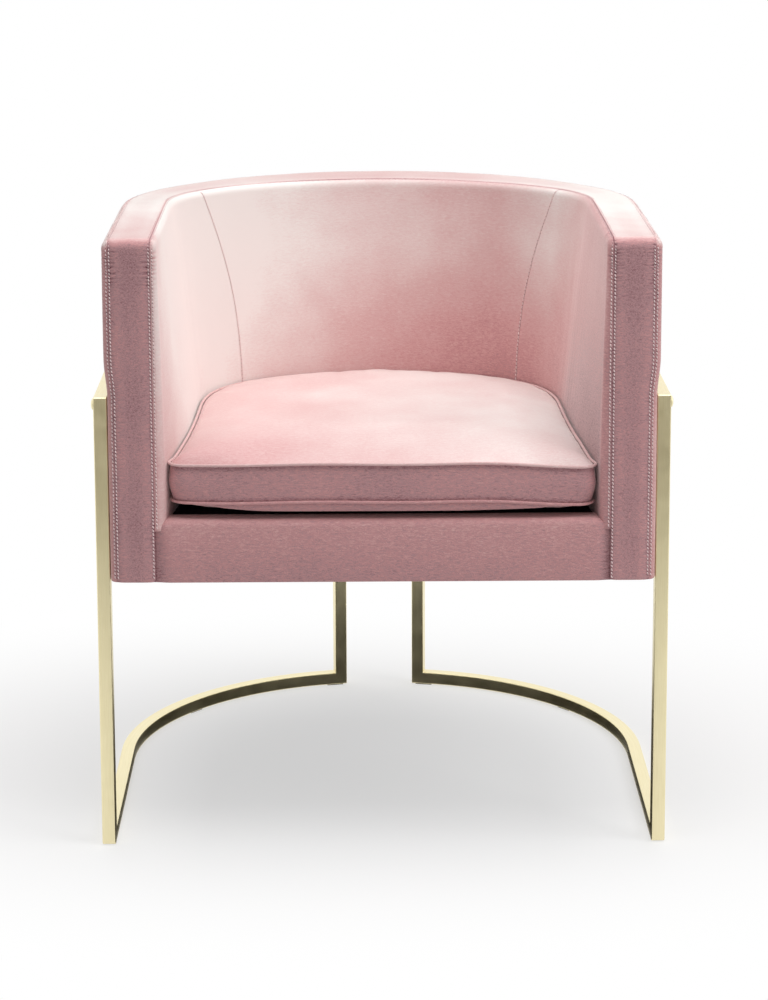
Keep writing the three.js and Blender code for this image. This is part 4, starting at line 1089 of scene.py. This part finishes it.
staple_line = on_plan(np.linspace(-1.9, 1.9, 600), SHELL_RADIUS - DUST_INSET - 4 * MM, shell_bottom - 1.4 * MM)
reach = travel_along(staple_line)
staple_points, staple_faces = [], []
for place in np.arange(STAPLE_PITCH, reach[-1], STAPLE_PITCH):
    ends = [np.array([np.interp(place + step, reach, staple_line[:, k]) for k in range(3)])
            for step in (-STAPLE_WIDTH / 2, STAPLE_WIDTH / 2)]
    sideways = np.cross((ends[1] - ends[0]) / STAPLE_WIDTH, upright_of) * STAPLE_WIRE / 2
    lifted = upright_of * 0.75 * STAPLE_WIRE
    start = len(staple_points)
    for end in ends:
        staple_points += [end - sideways, end + sideways, end + sideways + lifted, end - sideways + lifted]
    staple_faces += [[start + k for k in face] for face in (
        (0, 1, 2, 3), (7, 6, 5, 4), (0, 4, 5, 1), (1, 5, 6, 2), (2, 6, 7, 3), (3, 7, 4, 0))]
staples = piece_of("dust_cloth_staples", staple_points, staple_faces, steel_zinc)
finish_piece(staples, "chair")

# %% [markdown]
# The loose cushion is a box cushion: a top and a bottom panel sewn to a band of boxing, with a
# welt of covered cord in both seams. Its foam core pushes every panel out, while the welts hold
# their line. That is what a cloth simulation does well: the seam points are pinned, pressure
# fills the cover, and the panels find their own crown between the seams.
#
# The panels need even triangles for that. Points are scattered on a lattice inside the plan, and
# a Delaunay triangulation joins them.

# %% The cushion's plan
CUSHION_SETBACK = 4 * MM
CUSHION_SPREAD = 7 * MM
CUSHION_SPREAD_LENGTH = 50 * MM
CUSHION_CORNER = 20 * MM
CUSHION_SWELL = 3 * MM
SEAM_INSET = 3 * MM
WELT_RADIUS = 1.7 * MM
LATTICE = 7 * MM
welt_low = (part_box("cushion_welt_bottom")[0].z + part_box("cushion_welt_bottom")[1].z) / 2
top_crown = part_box("cushion_top")[1].z - welt_high
bottom_crown = welt_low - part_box("cushion_bottom")[0].z
cushion_front = bend_y - ARM_LENGTH + CUSHION_SETBACK
cushion_middle = np.array([0, bend_y - 100 * MM])


def cushion_radius(turn):
    """The cushion's edge: the inner wall less a clearance, and wider beside the arms' rolls."""
    forward = np.maximum(np.abs(turn) - 1, 0) * ARM_LENGTH
    spread = CUSHION_SPREAD * smooth(forward, ARM_LENGTH - CUSHION_SPREAD_LENGTH, ARM_LENGTH)
    return inner_wall(turn, welt_high) - CUSHION_CLEARANCE + spread


def even_steps(loop, spacing):
    """A closed loop of points, spaced evenly."""
    closed = np.concatenate([loop, loop[:1]])
    reach = travel_along(closed)
    places = np.linspace(0, reach[-1], int(reach[-1] / spacing) + 1)[:-1]
    return np.stack([np.interp(places, reach, closed[:, k]) for k in range(loop.shape[1])], -1)


def outward_of(loop):
    """Unit directions out of a loop that runs from the left arm round the back to the right."""
    direction = np.roll(loop, -1, 0) - np.roll(loop, 1, 0)
    outward = np.stack([-direction[:, 1], direction[:, 0]], -1)
    return outward / np.linalg.norm(outward, axis=1, keepdims=True)


def cushion_outline(inset, spacing):
    """The cushion's plan, drawn in by an inset, from the middle of its back."""
    last = 1 + (bend_y - cushion_front - CUSHION_CORNER) / ARM_LENGTH
    turns = np.linspace(-last, last, 400)
    sides = on_plan(turns, cushion_radius(turns), 0)[:, :2]
    end = cushion_radius(last)
    angle = np.linspace(0, QUARTER, 14)[1:]
    round_x = end - CUSHION_CORNER * (1 - np.cos(angle))
    round_y = cushion_front + CUSHION_CORNER * (1 - np.sin(angle))
    flat_x = np.linspace(1, -1, 60)[1:-1]
    flat = np.stack([flat_x * (end - CUSHION_CORNER), cushion_front - CUSHION_SWELL * (1 - flat_x ** 2)], -1)
    loop = np.concatenate([sides, np.stack([round_x, round_y], -1), flat,
                           np.stack([-round_x, round_y], -1)[::-1]])
    loop = np.roll(loop, -len(turns) // 2, 0)
    return even_steps(loop - outward_of(loop) * inset, spacing)


seam_loop = cushion_outline(SEAM_INSET, LATTICE)
loop_count = len(seam_loop)
print("cushion", round(2 * cushion_radius(1.0) / MM), "mm wide, crowned by", round(top_crown / MM), "mm")

# %% The cushion's cover as a mesh
BOXING_STEPS = [0.04, 0.08, 0.16, 0.3, 0.5, 0.7, 0.84, 0.92, 0.96, 1.0]
BOXING_BULGE = 1.5 * MM
BELLY_ROWS = 2
BELLY_SHARE = 0.8
BELLY_BULGE = 2 * MM


def share_of(points, loop):
    """How far each point lies from the middle towards the loop, from 0 to 1."""
    offset, rim = points - cushion_middle, loop - cushion_middle
    rim_angle = np.arctan2(rim[:, 1], rim[:, 0])
    order = np.argsort(rim_angle)
    angle = np.arctan2(offset[:, 1], offset[:, 0])
    reach = np.interp(angle, rim_angle[order], np.linalg.norm(rim, axis=1)[order], period=4 * QUARTER)
    return np.linalg.norm(offset, axis=1) / reach


low, high = seam_loop.min(0), seam_loop.max(0)
lattice = np.array([(x + (row % 2) * LATTICE / 2, y)
                    for row, y in enumerate(np.arange(low[1], high[1], LATTICE * 0.87))
                    for x in np.arange(low[0], high[0], LATTICE)])
lattice = lattice[share_of(lattice, seam_loop) < 1 - 0.7 * LATTICE / np.ptp(seam_loop[:, 0]) * 2]
flat_points = [Vector(p) for p in np.concatenate([seam_loop, lattice])]
ring = [(k, (k + 1) % loop_count) for k in range(loop_count)]
flat_points, _, triangles, *_ = geometry.delaunay_2d_cdt(flat_points, ring, [], 1, 1e-6)
flat_points = np.array([tuple(p) for p in flat_points])
share = np.clip(share_of(flat_points, seam_loop), 0, 1)
forward = 1 - smooth(flat_points[:, 1], cushion_front, cushion_front + 150 * MM)
sideways = np.abs(flat_points[:, 0])
gentle = forward * (1 - 0.8 * smooth(sideways, 130 * MM, 225 * MM))
fade = np.clip(sideways / seam_loop[:, 0].max(), 0, 1) ** 4
top_height = top_crown * (np.sqrt(1 - share ** 5) * (1 - gentle) + (1 - share ** 3) ** 0.75 * gentle)
belly = 0.1 + (BELLY_SHARE - 0.1) * forward * (1 - fade)
lifted = 1 - 0.8 * forward * fade
bottom_height = bottom_crown * lifted * (belly + (1 - belly) * np.sqrt(1 - share ** 8))
top = np.column_stack([flat_points, welt_high + top_height])
bottom = np.column_stack([flat_points, welt_low - bottom_height])


def band_row(step, high, low, bulge):
    """A row of the cushion's side, at a share of the way down from high to low."""
    out = outward_of(seam_loop) * np.reshape(bulge * math.sin(step * 2 * QUARTER), (-1, 1))
    return np.column_stack([seam_loop + out, high + (low - high) * step + np.zeros(loop_count)])


band = [band_row(step, welt_high, welt_low, BOXING_BULGE)
        for step in BOXING_STEPS]
band += [band_row(step, welt_low, bottom[:loop_count, 2], BELLY_BULGE * belly[:loop_count])
         for step in np.linspace(0, 1, BELLY_ROWS + 2)[1:-1]]
cover_points = np.concatenate([top, bottom, *band])
faces = [list(face) for face in triangles]
faces += [[len(top) + corner for corner in reversed(face)] for face in triangles]
levels = [np.arange(loop_count), *[2 * len(top) + row * loop_count + np.arange(loop_count)
                                   for row in range(len(band))], len(top) + np.arange(loop_count)]
for upper, lower in zip(levels, levels[1:]):
    for k in range(loop_count):
        j = (k + 1) % loop_count
        faces.append([int(upper[k]), int(upper[j]), int(lower[j]), int(lower[k])])
print("cushion cover of", len(cover_points), "points")

# %% [markdown]
# The boxing and the panels are cut from the same cloth but in different directions, so the pile's
# place and lie change abruptly at the welts. Painted light and shade are added to the lie too: the
# top, lit from above, is given a much paler lie than the boxing, paler still towards the right and
# deeper at its front, and a thin line of painted shade runs along the boxing under the top welt and
# over the bottom one. These numbers are stored for each corner of each face rather than for each
# point, since a point on a seam belongs to two pieces of cloth.

# %% The pile of the cushion's cover
TOP_LIE = 0.83
TOP_PAINTED_LIGHT_GAIN = 0.13
TOP_FRONT_PAINTED_SHADE = 0.08
BOXING_LIE = 0.38
BOXING_SEAM_SHADE = 0.15
band_steps = travel_along(np.concatenate([seam_loop, seam_loop[:1]]))
cloth_places = [cover_points[corner] * [1, 1, 0] for face in faces[:2 * len(triangles)] for corner in face]
for upper, lower in zip(levels, levels[1:]):
    for k in range(loop_count):
        j = (k + 1) % loop_count
        corners = ((k, upper[k]), (k + 1, upper[j]), (k + 1, lower[j]), (k, lower[k]))
        cloth_places += [(band_steps[step], cover_points[corner, 2], 0) for step, corner in corners]
corner_points = cover_points[[corner for face in faces for corner in face]]
corner_lies = np.full(len(corner_points), BOXING_LIE)
on_top, on_boxing = slice(0, 3 * len(triangles)), slice(6 * len(triangles), None)
corner_x, corner_y, corner_z = corner_points.T
# Painted light and shade: the top is paler towards the right and deeper at its front, and the boxing is darker
# in a thin line at each welt.
corner_lies[on_top] = TOP_LIE + TOP_PAINTED_LIGHT_GAIN * corner_x[on_top] / seam_loop[:, 0].max()
corner_lies[on_top] -= TOP_FRONT_PAINTED_SHADE * (1 - smooth(corner_y[on_top], cushion_front, cushion_front + 0.12))
for seam_z in (welt_high - 2.8 * MM, welt_low + 2.8 * MM):
    corner_lies[on_boxing] -= BOXING_SEAM_SHADE * bell(corner_z[on_boxing] - seam_z, 1.6 * MM)
corner_lies = brushed(corner_points, corner_lies, 4.4, 0.6)
cushion = piece_of("cushion_velvet", cover_points, faces, velvet_rose,
                   cloth=np.array(cloth_places), lie=corner_lies)
print("pile of the top lies at", TOP_LIE, "and of the boxing at", BOXING_LIE)

# %% [markdown]
# The simulation runs for twenty frames. Points may move a few millimetres at most, so that the
# cushion keeps clear of the arms and rests on the deck. Its front corners then sag slightly, and
# the right one more than the left, as a cushion that has been sat on does. The seams are also
# tighter there than the boxing between them, which the welts pinch in.

# %% Fill the cushion
FILL_PRESSURE = 3
PANEL_SWELL = 4.5 * MM
BOXING_SWELL = 3 * MM
FILL_FRAMES = 20
CORNER_PINCH_WIDTH = 34 * MM
pinch_at = [welt_low, (welt_low + welt_high) / 2, welt_high], [5.5 * MM, 0, 2 * MM]


def fill(piece, pinned, most_swell):
    """Inflates a closed cover between its pinned seams, and applies the result."""
    piece.vertex_groups.new(name="seams").add(pinned, 1.0, "REPLACE")
    cloth = piece.modifiers.new("Cloth", "CLOTH")
    cloth.settings.vertex_group_mass = "seams"
    cloth.settings.use_pressure = True
    cloth.settings.uniform_pressure_force = FILL_PRESSURE
    cloth.settings.tension_stiffness = 25
    cloth.settings.compression_stiffness = 25
    cloth.settings.effector_weights.gravity = 0
    for number in range(1, FILL_FRAMES + 1):
        bpy.context.scene.frame_set(number)
    evaluated = piece.evaluated_get(bpy.context.evaluated_depsgraph_get())
    after = np.array([v.co for v in evaluated.data.vertices])
    before = np.array([v.co for v in piece.data.vertices])
    moved = after - before
    distance = np.linalg.norm(moved, axis=1)
    moved *= np.minimum(1, most_swell / np.maximum(distance, 1e-9))[:, None]
    piece.modifiers.remove(cloth)
    piece.data.vertices.foreach_set("co", (before + moved).astype(np.float32).ravel())
    bpy.context.scene.frame_set(1)
    return float(distance.max())


def sag(points):
    """Moves points of the cushion's front corners down, the right one more."""
    x, y = points[..., 0], points[..., 1]
    front = 1 - smooth(y, cushion_front, cushion_front + 120 * MM)
    drop = 2.2 * MM * (np.abs(x) / 0.245) ** 3 + 4.0 * MM * smooth(x, 0.11, 0.25)
    wave = 0.5 * MM * np.sin(x / (95 * MM) * 2 * QUARTER + 0.8)
    corner = bell(np.hypot(np.abs(x) - 0.243, y - cushion_front), CORNER_PINCH_WIDTH)
    pinch = corner * np.interp(points[..., 2], *pinch_at)
    moved = points.copy()
    moved[..., 0] -= np.sign(x) * pinch
    moved[..., 1] += pinch
    moved[..., 2] -= front * (drop + wave)
    return moved


pinned = [*levels[0].tolist(), *levels[len(BOXING_STEPS)].tolist()]
most_swell = np.full(len(cover_points), BOXING_SWELL)
most_swell[:2 * len(top)] = PANEL_SWELL
pushed = fill(cushion, pinned, most_swell)
print("the fill pushes the cover out by up to", round(pushed / MM, 1), "mm")
sagged = sag(np.array([v.co for v in cushion.data.vertices]))
sagged[:, 2] = np.maximum(sagged[:, 2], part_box("cushion_bottom")[0].z)
cushion.data.vertices.foreach_set("co", sagged.astype(np.float32).ravel())
round_off = cushion.modifiers.new("finer", "SUBSURF")
round_off.levels = round_off.render_levels = 1
cushion_nodes = ["cushion_foam", "cushion_top", "cushion_bottom", "cushion_boxing"]
finish_piece(cushion, "cushion", cushion_nodes)

# %% The welts
WELT_SIDES = 12
# Painted light and shade: the top welt's lie is paler, as it is lit from above, and the bottom one's deeper, as
# it lies in shade.
TOP_WELT_PAINTED_LIGHT_LIE = 0.72
BOTTOM_WELT_PAINTED_SHADE_LIE = 0.5


def welt(name, z, lie, node):
    """A covered cord along one of the cushion's seams."""
    line = cushion_outline(SEAM_INSET - WELT_RADIUS, 3 * MM)
    centre = sag(np.column_stack([line, np.full(len(line), z)]))
    outward = np.column_stack([outward_of(line), np.zeros(len(line))])
    thick = WELT_RADIUS * (1 + 0.06 * rough_field(centre, 12 * MM, 2.6))
    angles = np.arange(WELT_SIDES) / WELT_SIDES * 4 * QUARTER
    points = centre[:, None] + thick[:, None, None] * (
        outward[:, None] * np.cos(angles)[None, :, None] + upright_of * np.sin(angles)[None, :, None])
    faces = grid_faces(len(centre) + 1, WELT_SIDES, wrap=True) % points[..., 0].size
    wound, travelled = np.meshgrid(angles * WELT_RADIUS, travel_along(centre))
    piece = piece_of(name, points, faces.tolist(), velvet_rose, lie=brushed(points, lie, 7.2, 0.5),
                     cloth=np.stack([travelled, wound, 0 * wound], -1))
    return finish_piece(piece, "cushion", [node])


welt("cushion_cord_top", welt_high + 0.6 * MM, TOP_WELT_PAINTED_LIGHT_LIE, "cushion_welt_top")
welt("cushion_cord_bottom", welt_low, BOTTOM_WELT_PAINTED_SHADE_LIE, "cushion_welt_bottom")

# %% [markdown]
# A zip in the back boxing lets the cover come off. It shows only when the cushion is lifted out:
# two woven tapes, a row of moulded teeth and a slider at one end.

# %% The zip
ZIP_HALF = 150 * MM
TOOTH_PITCH = 2.4 * MM
zip_z = (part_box("cushion_zip")[0].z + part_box("cushion_zip")[1].z) / 2
zip_turn = ZIP_HALF / (float(cushion_radius(0.0)) * QUARTER)


def zip_place(turn, out, z):
    """A point on the back of the cushion, a distance proud of its cover."""
    return on_plan(turn, cushion_radius(turn) + out, z)


zip_turns, zip_heights = np.meshgrid(np.linspace(-zip_turn, zip_turn, 120),
                                     zip_z + np.linspace(-4.5, 4.5, 9) * MM, indexing="ij")
tape = zip_place(zip_turns, 0.4 * MM - 0.3 * MM * (np.abs(zip_heights - zip_z) > 3.5 * MM), zip_heights)
tape_piece = panel("cushion_zip_tape", tape, np.array([0, 1.0, 0]), cloth_lining, thickness=0.6 * MM)
finish_piece(tape_piece, "cushion", ["cushion_zip"])
teeth_points, teeth_faces = [], []
box_faces = ((0, 1, 3, 2), (4, 6, 7, 5), (0, 4, 5, 1), (2, 3, 7, 6), (0, 2, 6, 4), (1, 5, 7, 3))
tooth_turns = np.arange(-zip_turn, zip_turn, TOOTH_PITCH / (float(cushion_radius(0.0)) * QUARTER))
for number, turn_at in enumerate(tooth_turns):
    rise = 0.5 * MM if number % 2 else -0.5 * MM
    start = len(teeth_points)
    step = 0.8 * MM / (float(cushion_radius(0.0)) * QUARTER)
    for turn_here in (turn_at - step / 2, turn_at + step / 2):
        for out in (0.4 * MM, 1.2 * MM):
            for z_here in (zip_z + rise - 1.3 * MM, zip_z + rise + 1.3 * MM):
                teeth_points.append(zip_place(turn_here, out, z_here))
    teeth_faces += [[start + k for k in face] for face in box_faces]
teeth = piece_of("cushion_zip_teeth", teeth_points, teeth_faces, nylon_black)
finish_piece(teeth, "cushion")
slider_points = []
for x in (-6 * MM, 6 * MM):
    for out in (0.5 * MM, 2.6 * MM):
        for rise in (-3.2 * MM, 3.2 * MM):
            spot = zip_place(zip_turn * 0.96 + x / (float(cushion_radius(0.0)) * QUARTER), out, zip_z + rise)
            slider_points.append(spot)
slider = piece_of("cushion_zip_slider", slider_points, [list(face) for face in box_faces], steel_zinc)
soften = slider.modifiers.new("soft edges", "BEVEL")
soften.width = 0.9 * MM
soften.segments = 3
finish_piece(slider, "cushion")
print("zip with", len(tooth_turns), "teeth")

# %% [markdown]
# The screws, glides, inserts and timber keep their own solids, since their shapes are right. They
# only need their materials.

# %% Finish the pieces that stay as they are
kept = {
    "brass": ("screw", brass_bars), "steel": ("insert", steel_zinc), "nylon": ("glide", nylon_black),
    "posts": ("post", beech_sawn), "ring": ("base_ring", beech_sawn), "rail": ("front_rail", beech_sawn),
    "panel": ("outer_panel", birch_ply), "top": ("top_rail", birch_ply),
}
for node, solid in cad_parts.items():
    for word, material in kept.values():
        if word in node and not solid.hide_render:
            solid.data.materials.clear()
            solid.data.materials.append(material)

# %% [markdown]
# The light is that of a product studio. A wide softbox hangs above, so that level surfaces are
# bright and upright ones fall off. A smaller one stands high at the right, which lights the left
# arm's inside more than the right one; the paler lie painted on the left and the deeper one on the
# right add to that. The rest comes from a pale surround. The floor is plain and pale: far from the
# chair it turns into the white background, and under the chair it keeps the shadow.
#
# Metal shows nothing but its surroundings, and in an all-white room it looks like chalk. So there
# are two dark cards here, which only reflections see: painted dark reflections, tinted dark brown.
# One lies far in front, for the upper legs, and one under the seat, for the bars at the back,
# where it stands for the floor in the chair's shade.

# %% Floor, background, lamps and cards
FLOOR_HALF = 30.0
FLOOR_NEAR = 0.35
FLOOR_FAR = 1.1
FLOOR_DEPTH_SCALE = 1.6
SURROUND = 0.29


def seen_directly(tree):
    """1 for the rays that show a background: from the camera, in reflections and through glass."""
    path = add(tree, "LightPath")
    total = path.outputs["Is Camera Ray"]
    for name in ("Is Glossy Ray", "Is Transmission Ray"):
        total = add(tree, "Math", {"operation": "MAXIMUM"}, {0: total, 1: path.outputs[name]}).outputs[0]
    return total


def staged(name, points, faces, shader_kind, settings):
    """A piece of the studio, which is not part of the chair, with a plain shader."""
    material = bpy.data.materials.new(name)
    material.use_nodes = True
    tree = material.node_tree
    tree.nodes.clear()
    shader = add(tree, shader_kind, settings)
    add(tree, "OutputMaterial", links={"Surface": shader.outputs[0]})
    thing = piece_of(name, points, faces, material)
    thing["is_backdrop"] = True
    return thing, tree, shader


floor_corners = [(x * FLOOR_HALF, y * FLOOR_HALF, 0) for x, y in ((-1, -1), (1, -1), (1, 1), (-1, 1))]
floor, tree, matt = staged("studio_floor", floor_corners, [[0, 1, 2, 3]], "BsdfDiffuse",
                           {"Color": linear("#F2F1F1")})
place = add(tree, "NewGeometry").outputs["Position"]
place = add(tree, "VectorMath", {"operation": "MULTIPLY", 1: (1, FLOOR_DEPTH_SCALE, 1)}, {0: place}).outputs[0]
distance = add(tree, "VectorMath", {"operation": "LENGTH"}, {0: place}).outputs["Value"]
away = add(tree, "MapRange", {"From Min": FLOOR_NEAR, "From Max": FLOOR_FAR, "To Min": 0.55, "To Max": 1.0,
                              "interpolation_type": "SMOOTHSTEP"}, {"Value": distance}).outputs[0]
share = add(tree, "Math", {"operation": "MULTIPLY"}, {0: away, 1: seen_directly(tree)}).outputs[0]
glow = add(tree, "Emission", {"Color": (1, 1, 1, 1), "Strength": 1.0})
both = add(tree, "MixShader", links={0: share, 1: matt.outputs[0], 2: glow.outputs[0]})
output = next(node for node in tree.nodes if node.type == "OUTPUT_MATERIAL")
tree.links.new(both.outputs[0], output.inputs["Surface"])


def card(name, corners, tone):
    """A level dark card that only reflections see: a painted dark reflection."""
    thing, _, _ = staged(name, corners, [list(range(len(corners)))], "Emission", {"Color": linear(tone)})
    for ray in ("camera", "diffuse", "transmission", "volume_scatter", "shadow"):
        setattr(thing, "visible_" + ray, False)


inside_bars = on_plan(np.linspace(-1.95, 1.95, 80), BAR_RADIUS - 10 * MM, 1 * MM)
card("painted_reflection_in_front", [(-3, -5, 5 * MM), (3, -5, 5 * MM), (3, -1.6, 5 * MM), (-3, -1.6, 5 * MM)], "#45370A")
card("painted_shade_reflection_under_the_seat", [*inside_bars, (0.2, -1.6, 1 * MM), (-0.2, -1.6, 1 * MM)], "#100C04")

world = bpy.data.worlds.new("studio")
bpy.context.scene.world = world
world.use_nodes = True
tree = world.node_tree
tree.nodes.clear()
strength = add(tree, "MapRange", {"To Min": SURROUND, "To Max": 1.0}, {"Value": seen_directly(tree)}).outputs[0]
sky = add(tree, "Background", {"Color": (1, 1, 1, 1)}, {"Strength": strength})
add(tree, "OutputWorld", links={"Surface": sky.outputs[0]})


def softbox(name, place, aim, width, depth, power):
    """A rectangular area lamp at a place, aimed at a point."""
    lamp = bpy.data.lights.new(name, "AREA")
    lamp.shape = "RECTANGLE"
    lamp.size = width
    lamp.size_y = depth
    lamp.energy = power
    holder = bpy.data.objects.new(name, lamp)
    holder.location = place
    holder.rotation_euler = (Vector(aim) - Vector(place)).to_track_quat("-Z", "Y").to_euler()
    bpy.context.scene.collection.objects.link(holder)
    return holder


softbox("softbox_above", (0.04, 0.0, 2.9), (0, 0, 0.4), 3.0, 2.4, 64)
softbox("softbox_right", (2.0, -1.1, 2.4), (-0.1, 0.1, 0.5), 1.4, 1.4, 26)

# %% Set the view transform and measure the dressed chair
bpy.context.scene.view_settings.view_transform = "Standard"
low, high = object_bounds()
print("the dressed chair is", [round(size / MM, 1) for size in high - low], "mm")
